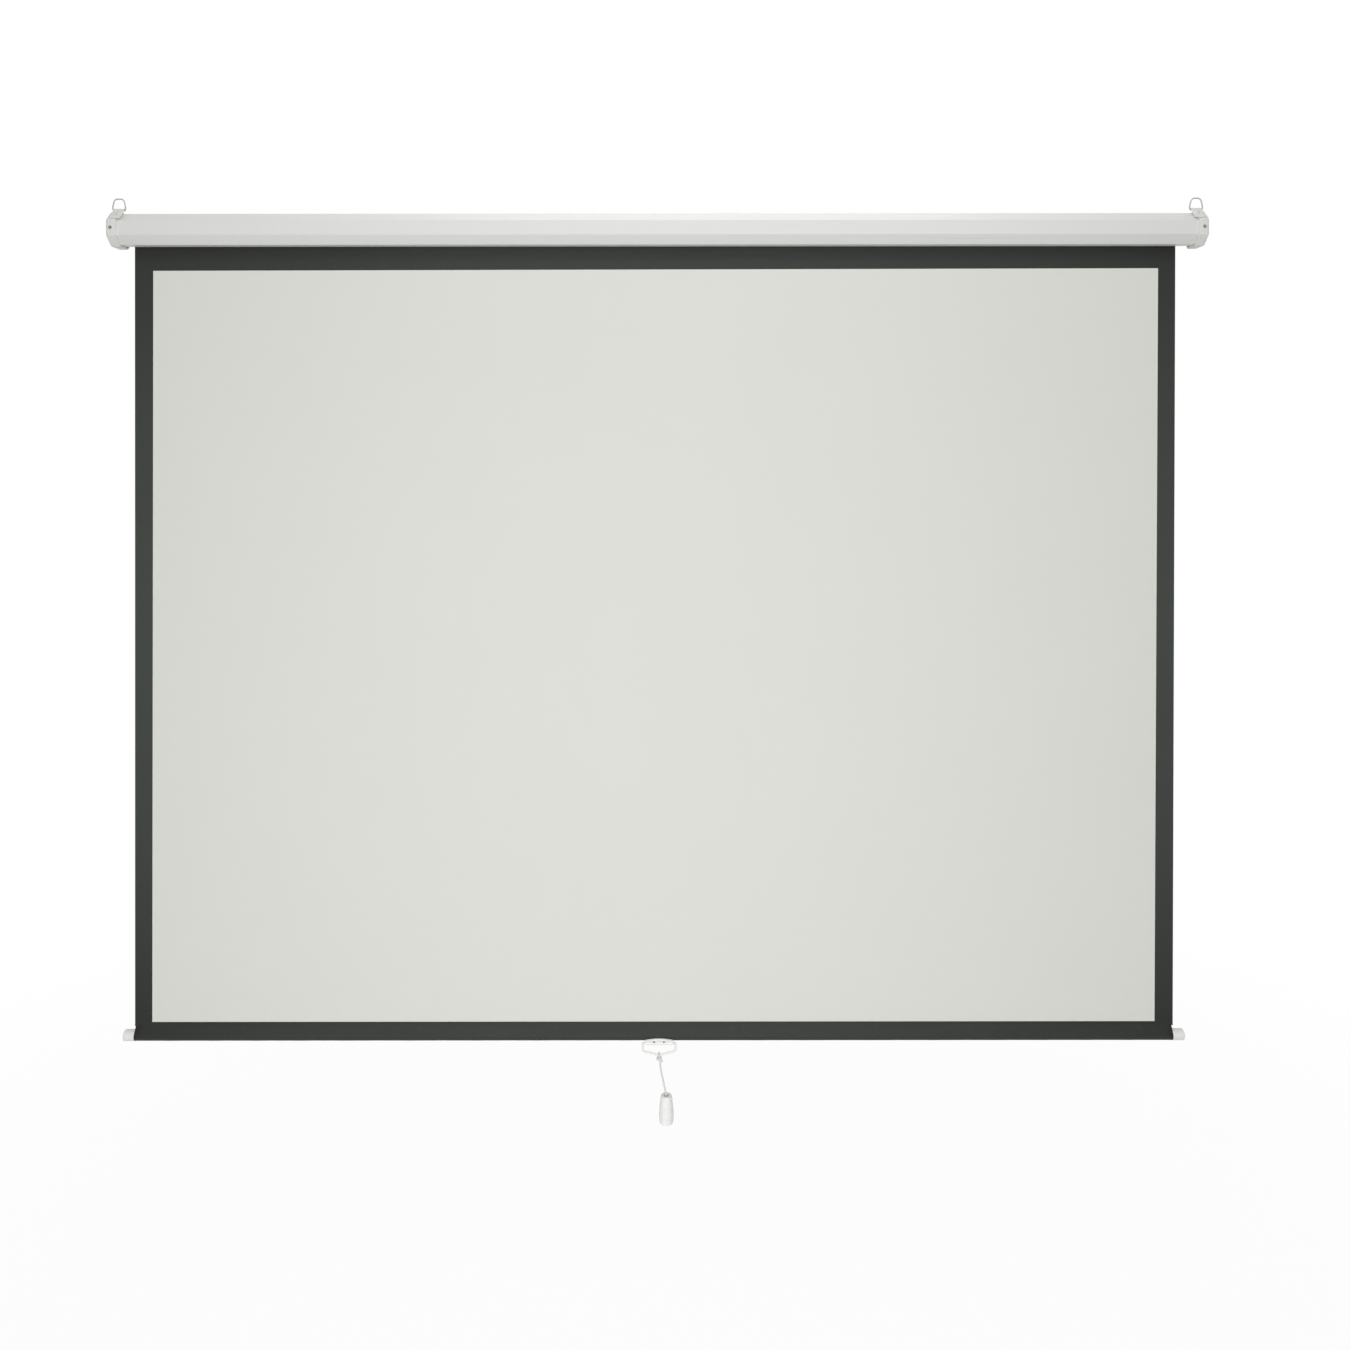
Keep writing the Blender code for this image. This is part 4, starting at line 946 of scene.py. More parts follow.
class PROJECTOR_SCREEN_OT_stage(ScreenOperator, bpy.types.Operator):
    """Sets up the camera, the floor, the lamps and the light all round"""

    bl_idname = "projector_screen.stage"
    bl_label = "Stage"

    # Each lamp's place, the point that it faces, and its width and height
    lamps = {
        "front_lamp": ((-0.15, -2.6, SHEET_LOW.z * 0.70), (0, 0, SHEET_LOW.z * 0.62), (2.2, 1.8)),
        "upper_lamp": ((0.12, -1.5, 1.3), (0.12, 0, 0), (0.9, 0.6)),
        "top_lamp": ((0.15, 0.1, 1.35), (0.15, 0, 0), (1.7, 0.8)),
        "low_lamp": ((-0.14, -0.26, -2.12), CORD_AXIS + Vector((0, 0, -0.09)), (0.12, 0.12)),
    }

    def execute(self, context):
        studio = context.scene.studio_settings
        self.camera(context.scene, studio)
        self.world(context.scene, studio)
        self.floor(studio, context.scene.screen_colours)
        for name, (place, target, size) in self.lamps.items():
            self.lamp(name, Vector(place), Vector(target), size, getattr(studio, name))
        context.scene.view_settings.view_transform = "Standard"
        return {"FINISHED"}

    def camera(self, scene, studio):
        data = bpy.data.cameras.new("camera")
        data.lens = studio.lens
        data.shift_y = studio.rise
        camera = bpy.data.objects.new("camera", data)
        camera.location = studio.camera
        camera.rotation_euler = (math.pi / 2 - studio.dip, studio.roll, 0)
        scene.collection.objects.link(camera)
        scene.camera = camera

    def seen_white(self, nodes):
        """1 for what the camera sees, in metal and glass too, and 0 for what lights the part."""
        path = nodes.node("LightPath").socket.node.outputs
        kinds = ("Camera", "Glossy", "Transmission")
        rays = [Value(nodes, path[f"Is {kind} Ray"]) for kind in kinds]
        return rays[0].largest(rays[1]).largest(rays[2])

    def world(self, scene, studio):
        world = bpy.data.worlds.new("studio")
        scene.world = world
        world.use_nodes = True
        nodes = Nodes(world.node_tree)
        background = world.node_tree.nodes["Background"]
        background.inputs["Color"].default_value = (1, 1, 1, 1)
        strength = studio.room_light + (1 - studio.room_light) * self.seen_white(nodes)
        nodes.feed(background.inputs["Strength"], strength)

    def floor(self, studio, colours):
        """A floor that is white to the camera, but for a share of its shadow near the object."""
        bm = bmesh.new()
        bmesh.ops.create_grid(bm, x_segments=8, y_segments=8, size=studio.floor_size)
        bmesh.ops.translate(bm, verts=bm.verts, vec=(0, 0, -studio.floor_drop))
        floor = object_of(bm, "floor")
        look = Look("floor", Roughness=0.9)
        look.paint(colours.floor, 0.99 + 0.01 * look.noise(3.0))
        glow = look.node("Emission", None, {"Color": (1, 1, 1), "Strength": 1.0})
        across, along, _ = look.apart(look.place())
        near = 1 - (across * across + along * along).step(1.0, 9.0)
        seen = self.seen_white(look) * (1 - studio.shadow_share * near)
        lit = Value(look, look.shader.outputs[0])
        surface = look.node("MixShader", None, {0: seen, 1: lit, 2: glow})
        look.feed(look.tree.nodes["Material Output"].inputs["Surface"], surface)
        floor.data.materials.append(look.material)

    def lamp(self, name, place, target, size, energy):
        data = bpy.data.lights.new(name, "AREA")
        data.shape = "RECTANGLE"
        data.size, data.size_y = size
        data.energy = energy
        lamp = bpy.data.objects.new(name, data)
        lamp.location = place
        lamp.rotation_euler = (target - place).to_track_quat("-Z", "Y").to_euler()
        bpy.context.scene.collection.objects.link(lamp)


class PROJECTOR_SCREEN_OT_cord(ScreenOperator, bpy.types.Operator):
    """Ties the cord to the handle and hangs it down to the knot inside the grip"""

    bl_idname = "projector_screen.cord"
    bl_label = "Cord and knots"

    def execute(self, context):
        sizes = context.scene.screen_sizes
        radius = sizes.cord / 2
        route = self.route(sizes)
        cord = self.strand("braided_cord", route, radius, ["pull_cord"], 20, round_ends=False)
        self.strand("handle_knot", self.knot_path(sizes), radius * 0.97, ["cord_knot"])
        stop = self.strand("grip_knot", self.stop_path(sizes), radius * 0.9, ["stop_knot"])
        return {"FINISHED"}

    def strand(self, name, path, radius, nodes, sides=16, round_ends=True):
        bm = bmesh.new()
        swept(bm, path, radius, sides=sides, round_ends=round_ends)
        return piece(name, bm, "cord_braid", "cord", nodes)

    def route(self, sizes, steps=36):
        """The free cord's route: straight out of the knot and down, drifting aside to the grip."""
        low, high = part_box("pull_cord")
        start = CORD_AXIS.z - high.z
        drop = high.z - low.z
        grip_low, grip_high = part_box("pull_grip")
        drift = (grip_low.x + grip_high.x) / 2 - CORD_AXIS.x - sizes.sidestep
        route = []
        for i in range(steps + 1):
            t = i / steps
            sway = drift * t * t * (3 - 2 * t)
            route.append(CORD_AXIS + Vector((sizes.sidestep + sway, 0, -start - drop * t)))
        return route

    def knot_path(self, sizes):
        """One strand: its cut end, two wraps, the loop over the handle, and down through them."""
        path = [Vector(p) for p in KNOT_END]
        steps = 16 * KNOT_WRAPS
        for i in range(steps + 1):
            t = i / steps
            turn = math.radians(-20 - 360 * KNOT_WRAPS * t)
            path.append(Vector((KNOT_WRAP_RADII[0] * math.cos(turn),
                                KNOT_WRAP_RADII[1] * math.sin(turn),
                                KNOT_WRAP_FROM + KNOT_WRAP_RISE * t)))
        path.append(Vector(KNOT_UP))
        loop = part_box("cord_knot")[1].y - HANDLE_AXIS.y - sizes.cord / 2
        for degrees in range(190, -31, -20):
            turn = math.radians(degrees)
            path.append(Vector((0, loop * math.cos(turn), loop * math.sin(turn))))
        path += [Vector(p) for p in KNOT_DOWN]
        path += [Vector((sizes.sidestep, 0, z)) for z in KNOT_OUT]
        return [CORD_AXIS + p for p in smooth_path(path, 4)]

    def stop_path(self, sizes, steps=20):
        """The cord's end: down through its own turn and a half, with the cut end beside it."""
        low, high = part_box("stop_knot")
        half = (high - low) / 2
        wrap = half.x - sizes.cord / 2 * 0.9
        path = [Vector((0, 0, half.z)), Vector((0, 0, 0)), Vector((0.0006, 0, -0.6 * half.z))]
        for i in range(steps + 1):
            t = i / steps
            turn = math.radians(540 * t)
            height = half.z * (-0.55 + 0.9 * t)
            path.append(Vector((wrap * math.cos(turn), wrap * math.sin(turn), height)))
        path.append(Vector((-wrap * 0.8, -wrap * 0.9, half.z * 0.1)))
        return [(low + high) / 2 + p for p in smooth_path(path, 3)]


class PROJECTOR_SCREEN_OT_case(ScreenOperator, bpy.types.Operator):
    """Folds the octagonal case, with its slot and the hems along it"""

    bl_idname = "projector_screen.case"
    bl_label = "Case"

    def execute(self, context):
        sizes = context.scene.case_sizes
        corners = octagon(sizes, 0)
        slot_rear = -sizes.slot_setback
        slot_front = slot_rear - sizes.slot_width
        bottom = -CASE_SIZE / 2
        slant = sizes.hem * math.sqrt(0.5)
        rear_drop = corners[7][1] + slot_rear - corners[7][0]
        outline = [(slot_front, bottom + sizes.hem), (slot_front, bottom), *corners[1:]]
        outline += [(slot_rear, rear_drop), (slot_rear - slant, rear_drop + slant)]
        bends = [0, sizes.hem_bend] + [sizes.bend] * 7 + [sizes.hem_bend, 0]
        bm = bmesh.new()
        drawn_out(bm, rounded(outline, bends, 8, closed=False), CASE_LOW.x, CASE_HIGH.x)
        facing_out(bm, (0, -CASE_SIZE / 2, 0))
        case = piece("octagonal_case", bm, "satin_enamel", "case", ["case_shell"], crease=30)
        thicken(case, sizes.wall)
        drills = []
        for side, sign in SIDES:
            inset = (-sign * sizes.hanger_inset, 0, 0)
            drills.append(screw_hole(f"cap_screw_{side}", (0, -1, 0), 0.006, 24))
            drills.append(screw_hole(f"hanger_screw_{side}", (0, -1, 1), 0.006, 24, inset))
        combine(case, "DIFFERENCE", drills, crease=30)
        soften(case, width=0.00022, segments=2, limit=60)
        return {"FINISHED"}


class PROJECTOR_SCREEN_OT_end_caps(ScreenOperator, bpy.types.Operator):
    """Moulds the two end caps with their rounded ends and panels, and their screws"""

    bl_idname = "projector_screen.end_caps"
    bl_label = "End caps"

    def execute(self, context):
        sizes = context.scene.case_sizes
        for side, sign in SIDES:
            self.cap(sizes, side, sign)
            screw(f"cross_screw_{side}", f"cap_screw_{side}", (0, -1, 0), "blackened_steel",
                  "case")
        return {"FINISHED"}

    def sections(self, sizes):
        """(distance from the case's middle, outline's offset) from the open rim to the end."""
        start = HALF_LENGTH - sizes.cap_skirt
        out = []
        for turn in map(math.radians, (0, 30, 60, 90)):
            out.append((start + sizes.cap_lip * (1 - math.cos(turn)),
                        sizes.cap_proud - sizes.cap_lip * (1 - math.sin(turn))))
        for turn in map(math.radians, range(0, 91, 10)):
            out.append((HALF_LENGTH - sizes.cap_rounding * (1 - math.sin(turn)),
                        sizes.cap_proud - sizes.cap_rounding * (1 - math.cos(turn))))
        rim = sizes.cap_proud - sizes.cap_rounding - sizes.panel_rim
        out.append((HALF_LENGTH, rim))
        out.append((HALF_LENGTH - sizes.panel_depth, rim - sizes.panel_depth))
        return out

    def cap(self, sizes, side, sign):
        bm = bmesh.new()
        lofted(bm, [[(sign * x, y, z) for y, z in cap_outline(sizes, offset)]
                    for x, offset in self.sections(sizes)])
        cap = piece(f"moulded_cap_{side}", bm, "grained_plastic", "case", [f"end_cap_{side}"],
                    crease=30)
        hollow = bmesh.new()
        span = (HALF_LENGTH - sizes.cap_skirt - 0.005, HALF_LENGTH - sizes.cap_plate)
        lofted(hollow, [[(sign * x, y, z) for y, z in octagon(sizes, GAP)] for x in span])
        tools = [object_of(hollow, "hollow"), screw_hole(f"cap_screw_{side}", (0, -1, 0), 0.01)]
        combine(cap, "DIFFERENCE", tools, crease=30)


class PROJECTOR_SCREEN_OT_hangers(ScreenOperator, bpy.types.Operator):
    """Rolls the hangers' eyes, and bends the wire rings that stand in them"""

    bl_idname = "projector_screen.hangers"
    bl_label = "Hangers and rings"

    def execute(self, context):
        sizes = context.scene.case_sizes
        for side, sign in SIDES:
            inset = Vector((-sign * sizes.hanger_inset, 0, 0))
            eye = joint_place(f"ring_{side}_pivot") + inset
            self.plate(sizes, side, eye)
            screw(f"hanger_cross_screw_{side}", f"hanger_screw_{side}",
                  Vector((0, -1, 1)).normalized(), "painted_screw", "case", inset)
            self.ring(sizes, side, eye)
        return {"FINISHED"}

    def plate(self, sizes, side, eye):
        """A strip along the cap's upper chamfer, bent up and rolled round the ring's wire."""
        half = box_span(f"hanger_plate_{side}") / 2
        corner = sizes.hanger_corner
        curl = sizes.ring_wire + GAP + sizes.hanger_plate / 2
        knee = EYE_KNEE * curl
        leave = math.degrees(math.acos(curl / knee))
        roll = arc((0, 0), curl, leave, leave + EYE_TURN, 19)
        straight = [(sizes.hanger_length - corner, 0), (knee, 0), roll[0]]
        strip = rounded(straight, [0, KNEE_BEND, 0], 4, closed=False) + roll[1:]
        ends = [((sizes.hanger_length - corner * (1 - c), 0), half - corner * (1 - s))
                for c, s in arc((0, 0), 1, 0, 75, 5)]
        rows = []
        for (run, lift), wide in ends + [(spot, half) for spot in strip]:
            y = eye.y - (run + lift) / math.sqrt(2)
            z = eye.z - (run - lift) / math.sqrt(2)
            rows.append([(eye.x + wide * s, y, z) for s in (-1, -0.5, 0, 0.5, 1)])
        bm = bmesh.new()
        skinned(bm, rows)
        bmesh.ops.recalc_face_normals(bm, faces=bm.faces)
        plate = piece(f"rolled_hanger_{side}", bm, "hanger_paint", "case",
                      [f"hanger_plate_{side}"])
        thicken(plate, sizes.hanger_plate, 0.0)
        soften(plate, width=0.0003)

    def ring(self, sizes, side, eye):
        """A wire ring that is wider at its foot."""
        node = f"hanger_ring_{side}"
        base = (box_span(node) - 2 * sizes.ring_wire) / 2
        tall = box_span(node, 2) - 2 * sizes.ring_wire
        top = sizes.ring_top / 2
        foot = (base - sizes.ring_taper, sizes.ring_foot)
        corners = [(-base, 0), (base, 0), foot, (top, tall), (-top, tall), (-foot[0], foot[1])]
        bends = [sizes.ring_base_bend] * 2 + [sizes.ring_foot] + [sizes.ring_top_bend] * 2
        outline = rounded(corners, bends + [sizes.ring_foot], 10)
        bm = bmesh.new()
        swept(bm, [eye + Vector((x, 0, z)) for x, z in outline], sizes.ring_wire, closed=True)
        piece(f"wire_ring_{side}", bm, "ring_wire", f"ring_{side}", [node])


class PROJECTOR_SCREEN_OT_screen(ScreenOperator, bpy.types.Operator):
    """Hangs the black fabric and its white viewing surface, and winds the rest on the roller"""

    bl_idname = "projector_screen.screen"
    bl_label = "Screen fabric"

    def execute(self, context):
        sizes = context.scene.screen_sizes
        cloth = self.hung(sizes, SHEET_LOW, SHEET_HIGH, sizes.sheet_lean, lap=sizes.lap)
        backing = piece("black_fabric", cloth, "border_fabric", "case", ["screen_backing"],
                        crease=60)
        first = PICTURE_LOW + Vector((sizes.trim, 0, sizes.foot_trim))
        last = PICTURE_HIGH - Vector((sizes.trim, 0, 0))
        coating = self.hung(sizes, first, last, sizes.lean, sizes.slant)
        picture = piece("white_coating", coating, "picture_coating", "case", ["viewing_surface"],
                        crease=60)
        for sheet in (backing, picture):
            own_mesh(sheet)
        pocket = self.pocket(sizes)
        self.roll(sizes)
        return {"FINISHED"}

    def ripple(self, sizes, x, z):
        """How far the fabric waves forwards at a point: nothing at the roller and at the bar."""
        down = (SHEET_HIGH.z - z) / (SHEET_HIGH.z - SHEET_LOW.z)
        hold = math.sin(math.pi * min(1.0, max(0.0, down)))
        wave = math.sin(math.tau * x / sizes.ripple_width)
        wave += 0.6 * math.sin(math.tau * x / sizes.lesser_ripple + 3 * down)
        return sizes.ripple * hold * wave

    def hung(self, sizes, low, high, lean=0.0, slant=0.0, lap=0.0):
        """A sheet between two corners, waved as it hangs, with its flat size in its UV map."""
        bm = bmesh.new()
        foot = low.z + 2 * lap
        span = (high.x - low.x, high.z - foot)
        counts = [max(1, round(s / CLOTH_CELL)) for s in span]
        bmesh.ops.create_grid(bm, x_segments=counts[0], y_segments=counts[1], size=0.5)
        bmesh.ops.scale(bm, verts=bm.verts, vec=(span[0], span[1], 1))
        upright = Matrix.Rotation(math.pi / 2, 3, "X")
        bmesh.ops.rotate(bm, verts=bm.verts, cent=(0, 0, 0), matrix=upright)
        centre = ((low.x + high.x) / 2, low.y, (foot + high.z) / 2)
        bmesh.ops.translate(bm, verts=bm.verts, vec=centre)
        if lap:
            edges = [e for e in bm.edges if all(abs(v.co.z - foot) < SAME for v in e.verts)]
            for step in ((0, -0.6 * lap, 0.2 * lap - 2 * lap), (0, 0, -1.2 * lap)):
                made = bmesh.ops.extrude_edge_only(bm, edges=edges)["geom"]
                edges = only(bmesh.types.BMEdge, made)
                moved = list({v for e in edges for v in e.verts})
                bmesh.ops.translate(bm, verts=moved, vec=step)
        bmesh.ops.recalc_face_normals(bm, faces=bm.faces)
        made = bmesh.ops.extrude_face_region(bm, geom=bm.faces[:])["geom"]
        bmesh.ops.translate(bm, verts=only(bmesh.types.BMVert, made), vec=(0, high.y - low.y, 0))
        flat = bm.loops.layers.uv.new("flat")
        for face in bm.faces:
            for loop in face.loops:
                loop[flat].uv = (loop.vert.co.x - low.x, loop.vert.co.z - low.z)
        for vert in bm.verts:
            x, _, z = vert.co
            rise = (z - low.z) / (high.z - low.z)
            vert.co.y -= self.ripple(sizes, x, z)
            vert.co.x += lean * (2 * rise - 1)
            vert.co.z += slant * rise * x / high.x
        bmesh.ops.recalc_face_normals(bm, faces=bm.faces)
        return bm

    def pocket(self, sizes, cuts=120):
        """The fabric down one side of the bar, round under it and up again to the seam."""
        low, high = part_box("hem_pocket")
        fabric = sizes.pocket_fabric
        middle_y, middle_z = BAR_CENTRE.y, BAR_CENTRE.z
        bend = (high.y - low.y) / 2 - fabric / 2
        seam = Vector((-fabric / 2, high.z - middle_z))
        leave = 90 + math.degrees(math.acos(bend / seam.length))
        round_bar = arc((0, 0), bend, leave, 540 - leave, 64)
        touch = Vector(round_bar[0])
        front = [tuple(seam + (touch - seam) * part) for part in (0, 0.05, 0.2, 0.4, 0.6, 0.8)]
        rear = [(-y, z) for y, z in reversed(front)]
        outline = [(middle_y + y, middle_z + z) for y, z in front + round_bar + rear]
        bm = bmesh.new()
        drawn_out(bm, outline, low.x, high.x - sizes.pocket_short)
        facing_out(bm, (0, middle_y, middle_z))
        along = [e for e in bm.edges if abs(e.verts[0].co.x - e.verts[1].co.x) > 1]
        bmesh.ops.subdivide_edges(bm, edges=along, cuts=cuts, use_grid_fill=True)
        for vert in bm.verts:
            x, y, z = vert.co
            rise = (z - middle_z) / seam.y
            pucker = math.sin(x * 61 + 2 * math.sin(x * 7)) + math.sin(x * 143 + 5 * rise)
            out = math.copysign(sizes.pucker, y - middle_y)
            vert.co.y += out * pucker * (1 - abs(rise) ** 3)
        pocket = piece("bar_pocket", bm, "pocket_fabric", "bottom_bar", ["hem_pocket"], crease=50)
        thicken(pocket, fabric, 0.0)
        return pocket

    def roll(self, sizes, turns=2):
        """The spare turns on the roller, whose edges don't quite line up."""
        low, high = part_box("fabric_roll")
        outer = (high.z - low.z) / 2 - sizes.roll_slack
        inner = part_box("roller_tube")[1].z + GAP
        layer = (outer - inner) / turns
        right = []
        left = []
        for i in range(turns):
            radii = (inner + i * layer, inner + (i + 1) * layer)
            right += [(r, high.x - sizes.roll_slip * (i % 2)) for r in radii]
            left += [(r, low.x + sizes.roll_slip * ((i + 1) % 2)) for r in radii]
        bm = bmesh.new()
        centre = frame_of((0, joint_place("roller_spin").y, 0), (1, 0, 0))
        turned(bm, right + left[::-1], centre, 64, closed=True)
        piece("spare_turns", bm, "border_fabric", "roller", ["fabric_roll"])


class PROJECTOR_SCREEN_OT_bar_caps(ScreenOperator, bpy.types.Operator):
    """Moulds the plugs in the ends of the weight bar"""

    bl_idname = "projector_screen.bar_caps"
    bl_label = "Bar caps"

    def execute(self, context):
        sizes = context.scene.screen_sizes
        for side, sign in SIDES:
            low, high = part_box(f"bar_cap_{side}")
            outer = (high.z - low.z) / 2
            if sign > 0:
                end, edge, tip = high.x, BAR_HIGH.x, low.x
                face = abs(end - edge) - sizes.cap_trim
            else:
                end, edge, tip = low.x, BAR_LOW.x, high.x
                face = abs(end - edge)
            spigot = outer - sizes.spigot_step
            inside = -abs(tip - edge)
            dish = face - sizes.cap_dish
            profile = [(0, dish), (0.45 * outer, dish), (0.55 * outer, face)]
            round_end = (outer - sizes.cap_edge, face - sizes.cap_edge)
            profile += arc(round_end, sizes.cap_edge, 90, 0, 8)
            profile += self.rim(sizes, outer, sign)
            profile += [(spigot, GAP), (spigot, inside + 0.001), (spigot - 0.001, inside)]
            profile += [(0, inside)]
            bm = bmesh.new()
            place = (edge, BAR_CENTRE.y, BAR_CENTRE.z)
            turned(bm, profile, frame_of(place, (sign, 0, 0)), 56)
            piece(f"bar_plug_{side}", bm, "smooth_plastic", "bottom_bar", [f"bar_cap_{side}"])
        return {"FINISHED"}

    def rim(self, sizes, outer, sign):
        """The cap's open end, which at the right is a sleeve over the bar, up to the pocket."""
        if sign < 0:
            return [(outer, GAP + 0.0005), (outer - 0.0005, GAP)]
        sleeve = (BAR_HIGH.z - BAR_LOW.z) / 2 + GAP
        back = GAP - sizes.pocket_short
        return [(outer, back + 0.0004), (outer - 0.0004, back), (sleeve, back), (sleeve, GAP)]


class PROJECTOR_SCREEN_OT_saddle(ScreenOperator, bpy.types.Operator):
    """Moulds the saddle that holds the handle under the bar, and drives its screws"""

    bl_idname = "projector_screen.saddle"
    bl_label = "Saddle"

    def execute(self, context):
        sizes = context.scene.screen_sizes
        low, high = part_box("handle_saddle")
        middle = (low.x + high.x) / 2
        half = (high.x - low.x) / 2
        saddle = piece("moulded_saddle", self.shell(sizes, middle, half), "gloss_plastic",
                       "bottom_bar", ["handle_saddle"])
        thicken(saddle, sizes.saddle_wall)
        soften(saddle, width=0.0006, segments=3)
        boss = bmesh.new()
        radius = sizes.saddle_boss
        profile = rounded([(0, half), (radius, half), (radius, -half), (0, -half)],
                          [0, sizes.boss_edge, sizes.boss_edge, 0], 3, closed=False)
        place = (middle, HANDLE_AXIS.y, HANDLE_AXIS.z)
        turned(boss, profile, frame_of(place, (1, 0, 0)), 40)
        combine(saddle, "UNION", [object_of(boss, "boss")])
        sockets = []
        for side, sign in SIDES:
            seat = Vector((middle + sign * half, HANDLE_AXIS.y, HANDLE_AXIS.z))
            sockets.append(drill(seat, (1, 0, 0), sizes.handle_wire + GAP, sizes.socket_depth))
        combine(saddle, "DIFFERENCE", sockets)
        out = Vector((0, math.cos(sizes.screw_angle), math.sin(sizes.screw_angle)))
        for side, _ in SIDES:
            screw(f"saddle_cross_screw_{side}", f"saddle_screw_{side}", out, "blackened_steel",
                  "bottom_bar")
        return {"FINISHED"}

    def shell(self, sizes, middle, half, count=24, steps=28):
        """A sheet bent round the bar, whose front edge is arched."""
        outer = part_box("hem_pocket")[1].y - BAR_CENTRE.y + GAP + sizes.saddle_wall
        centre = Vector((0, BAR_CENTRE.y, BAR_CENTRE.z))
        start = sizes.saddle_from
        sweep = sizes.saddle_to - start
        bm = bmesh.new()
        first = centre + Vector((0, math.cos(start), math.sin(start))) * outer
        verts, edges = row(bm, [first + Vector((middle + half * (2 * i / count - 1), 0, 0))
                                for i in range(count + 1)])
        bmesh.ops.spin(bm, geom=verts + edges, cent=centre, axis=(1, 0, 0), angle=sweep,
                       steps=steps, use_merge=False, dvec=(0, 0, 0))
        bmesh.ops.remove_doubles(bm, verts=bm.verts, dist=SAME)
        for vert in bm.verts:
            off = (vert.co.x - middle) / half
            turn = math.atan2(vert.co.z - centre.z, vert.co.y - centre.y)
            later = sizes.saddle_crown + sizes.saddle_arch * off * off
            turn = start + later + (sweep - later) * (turn - start) / sweep
            vert.co = centre + Vector((vert.co.x, math.cos(turn) * outer, math.sin(turn) * outer))
        facing_out(bm, (middle, centre.y, centre.z))
        return bm


class PROJECTOR_SCREEN_OT_handle(ScreenOperator, bpy.types.Operator):
    """Bends the pull handle, an open loop whose ends turn in the saddle"""

    bl_idname = "projector_screen.handle"
    bl_label = "Pull handle"

    def execute(self, context):
        sizes = context.scene.screen_sizes
        wire = sizes.handle_wire
        half = box_span("pull_handle") / 2 - wire
        inside = box_span("handle_saddle") / 2 - sizes.handle_pin
        drop = HANDLE_AXIS.z - CORD_AXIS.z
        side = sizes.handle_side
        corners = [(-inside, 0), (-half, 0), (-half, -side), (0, -drop), (half, -side), (half, 0),
                   (inside, 0)]
        path = rounded(corners, [0] + [sizes.handle_bend] * 5 + [0], 10, closed=False)
        bm = bmesh.new()
        swept(bm, [HANDLE_AXIS + Vector((x, 0, z)) for x, z in path], wire, 24)
        piece("pull_loop", bm, "gloss_plastic", "handle", ["pull_handle"])
        return {"FINISHED"}


class PROJECTOR_SCREEN_OT_grip(ScreenOperator, bpy.types.Operator):
    """Moulds the grip, a hollow bell with a deep hole in its top"""

    bl_idname = "projector_screen.grip"
    bl_label = "Grip"

    def execute(self, context):
        sizes = context.scene.screen_sizes
        low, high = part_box("pull_grip")
        tall = high.z - low.z
        widest = (high.x - low.x) / 2
        foot = GRIP_FOOT * widest
        bm = bmesh.new()
        profile = self.outside(sizes, tall, widest, foot) + self.inside(sizes, tall, widest, foot)
        place = ((low.x + high.x) / 2, (low.y + high.y) / 2, high.z)
        turned(bm, profile, frame_of(place, (0, 0, 1)), 64, closed=True)
        piece("bell_grip", bm, "gloss_plastic", "cord", ["pull_grip"])
        return {"FINISHED"}

    def outside(self, sizes, tall, widest, foot):
        edge = sizes.grip_edge
        top = GRIP_TOP * widest
        outline = arc((top - edge, -edge), edge, 90, 0, 6)
        outline += [(part * widest, -drop * tall) for drop, part in GRIP_BELLY]
        return outline + arc((foot - edge, edge - tall), edge, 0, -90, 6)

    def inside(self, sizes, tall, widest, foot):
        """Up the skirt's inner side, through the web by the cord's hole and out of the mouth."""
        wall = sizes.grip_wall
        hole = sizes.grip_hole
        mouth = sizes.grip_mouth
        ledge = -sizes.grip_mouth_depth
        web = sizes.grip_mouth_depth + sizes.grip_web
        chamfer = GRIP_CHAMFER
        outline = [(foot - wall, -tall), (foot - wall - chamfer, -tall + 0.0006)]
        belly = [(part * widest - wall, -drop * tall) for drop, part in GRIP_BELLY[2:]]
        outline += belly[::-1]
        outline += [(0.90 * widest - wall, -web - 0.003), (0.80 * widest - wall, -web)]
        outline += [(hole + chamfer, -web), (hole, -web + chamfer), (hole, ledge - chamfer)]
        outline += [(hole + chamfer, ledge), (mouth - 0.001, ledge), (mouth, ledge + 0.001)]
        return outline + [(mouth, -0.0008), (mouth + 0.0008, 0)]


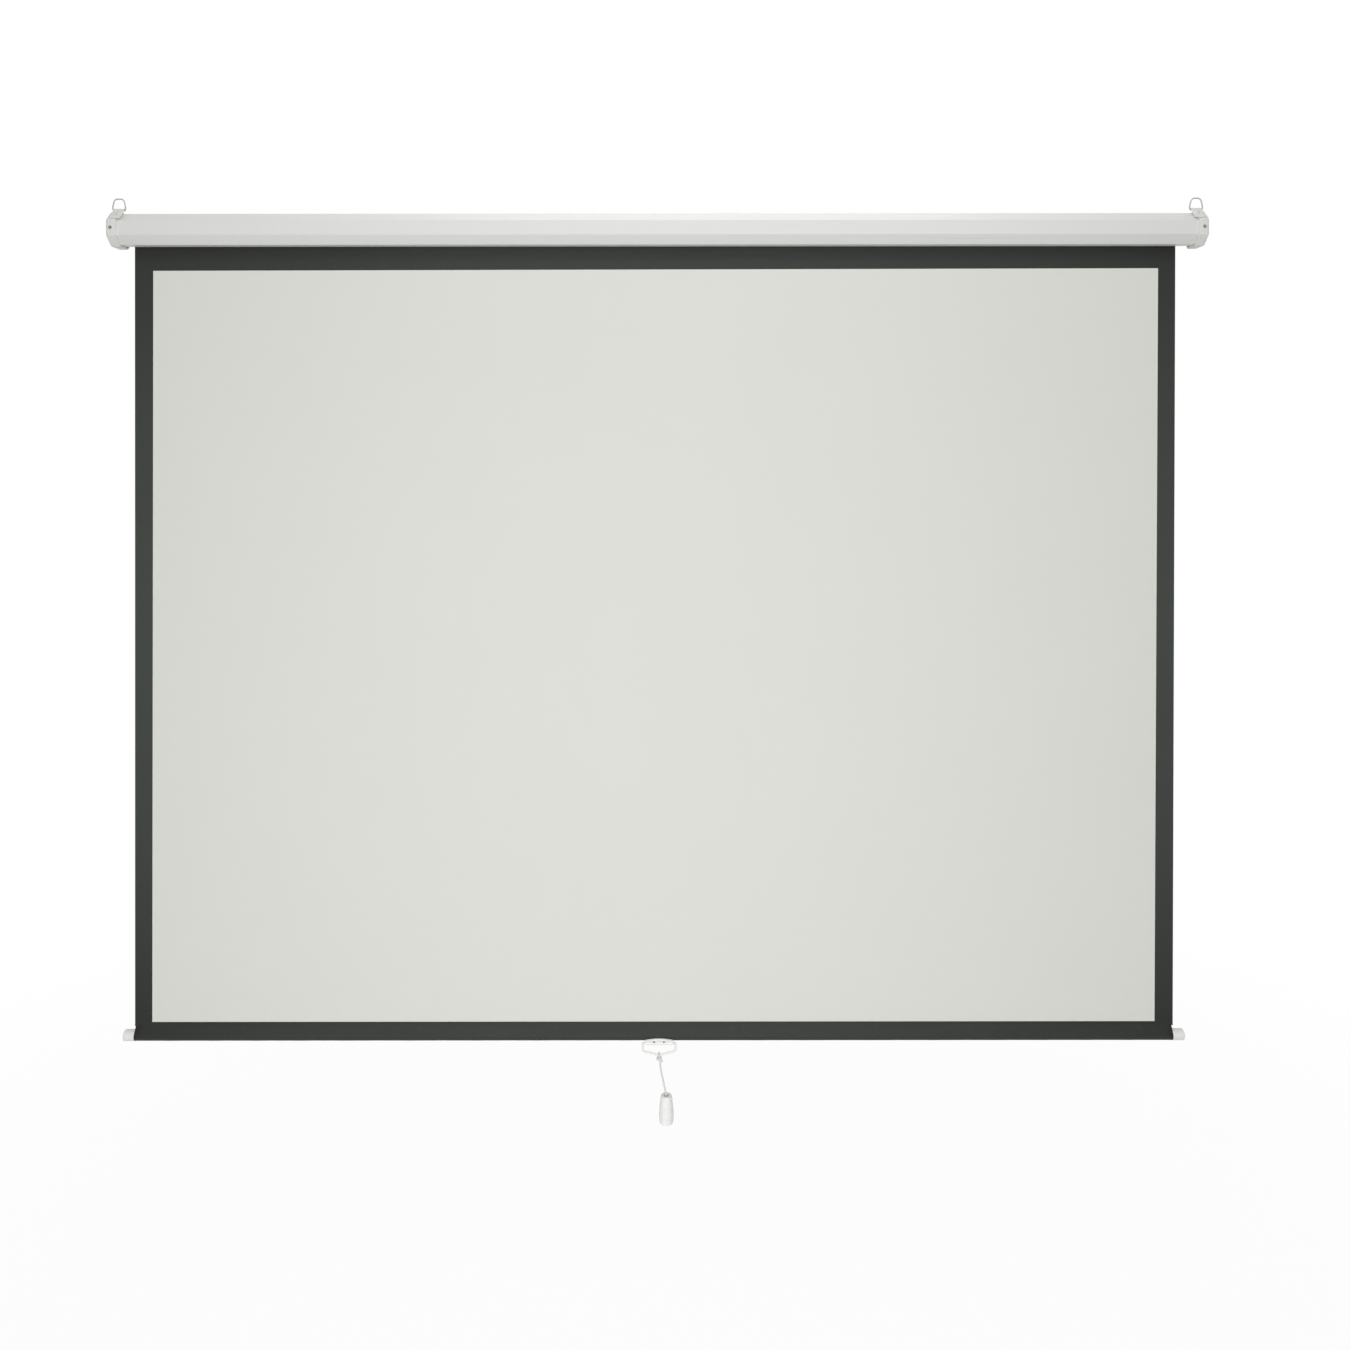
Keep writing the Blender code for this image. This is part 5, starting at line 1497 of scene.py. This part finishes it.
class PROJECTOR_SCREEN_OT_works(ScreenOperator, bpy.types.Operator):
    """Finishes the roller, the spring, the ratchet, the brackets and the weight bar"""

    bl_idname = "projector_screen.works"
    bl_label = "Works"

    looks = {
        "drawn_steel": ("roller_tube", "spring_shaft", "pawl_pin_a", "pawl_pin_b", "weight_bar"),
        "natural_nylon": ("roller_head", "idler_plug", "idler_bush", "shaft_bush"),
        "bloomed_zinc": ("spring_anchor", "roller_bracket_left", "roller_bracket_right"),
        "oiled_steel": ("torsion_spring", "ratchet_wheel", "pawl_a", "pawl_b"),
    }

    def execute(self, context):
        for look, nodes in self.looks.items():
            for node in nodes:
                data = frame["nodes"][node].data
                data.materials.clear()
                data.materials.append(finish(look))
        return {"FINISHED"}


OPERATORS = (
    PROJECTOR_SCREEN_OT_stage,
    PROJECTOR_SCREEN_OT_cord,
    PROJECTOR_SCREEN_OT_case,
    PROJECTOR_SCREEN_OT_end_caps,
    PROJECTOR_SCREEN_OT_hangers,
    PROJECTOR_SCREEN_OT_screen,
    PROJECTOR_SCREEN_OT_bar_caps,
    PROJECTOR_SCREEN_OT_saddle,
    PROJECTOR_SCREEN_OT_handle,
    PROJECTOR_SCREEN_OT_grip,
    PROJECTOR_SCREEN_OT_works,
)
GROUPS = {
    "case_sizes": CaseSizes,
    "screen_sizes": ScreenSizes,
    "screen_colours": ScreenColours,
    "studio_settings": StudioSettings,
}


class PROJECTOR_SCREEN_PT_panel(bpy.types.Panel):
    """Lists the steps that make the screen"""

    bl_idname = "PROJECTOR_SCREEN_PT_panel"
    bl_label = "Projector screen"
    bl_space_type = "VIEW_3D"
    bl_region_type = "UI"
    bl_category = "Projector screen"

    def draw(self, context):
        for operator in OPERATORS:
            self.layout.operator(operator.bl_idname)


CLASSES = (*GROUPS.values(), *OPERATORS, PROJECTOR_SCREEN_PT_panel)


def register():
    for made in CLASSES:
        bpy.utils.register_class(made)
    for name, group in GROUPS.items():
        setattr(bpy.types.Scene, name, PointerProperty(type=group))


def unregister():
    for name in GROUPS:
        delattr(bpy.types.Scene, name)
    for made in reversed(CLASSES):
        bpy.utils.unregister_class(made)


def main():
    register()
    for operator in OPERATORS:
        group, name = operator.bl_idname.split(".")
        getattr(getattr(bpy.ops, group), name)()


if __name__ == "__main__":
    main()
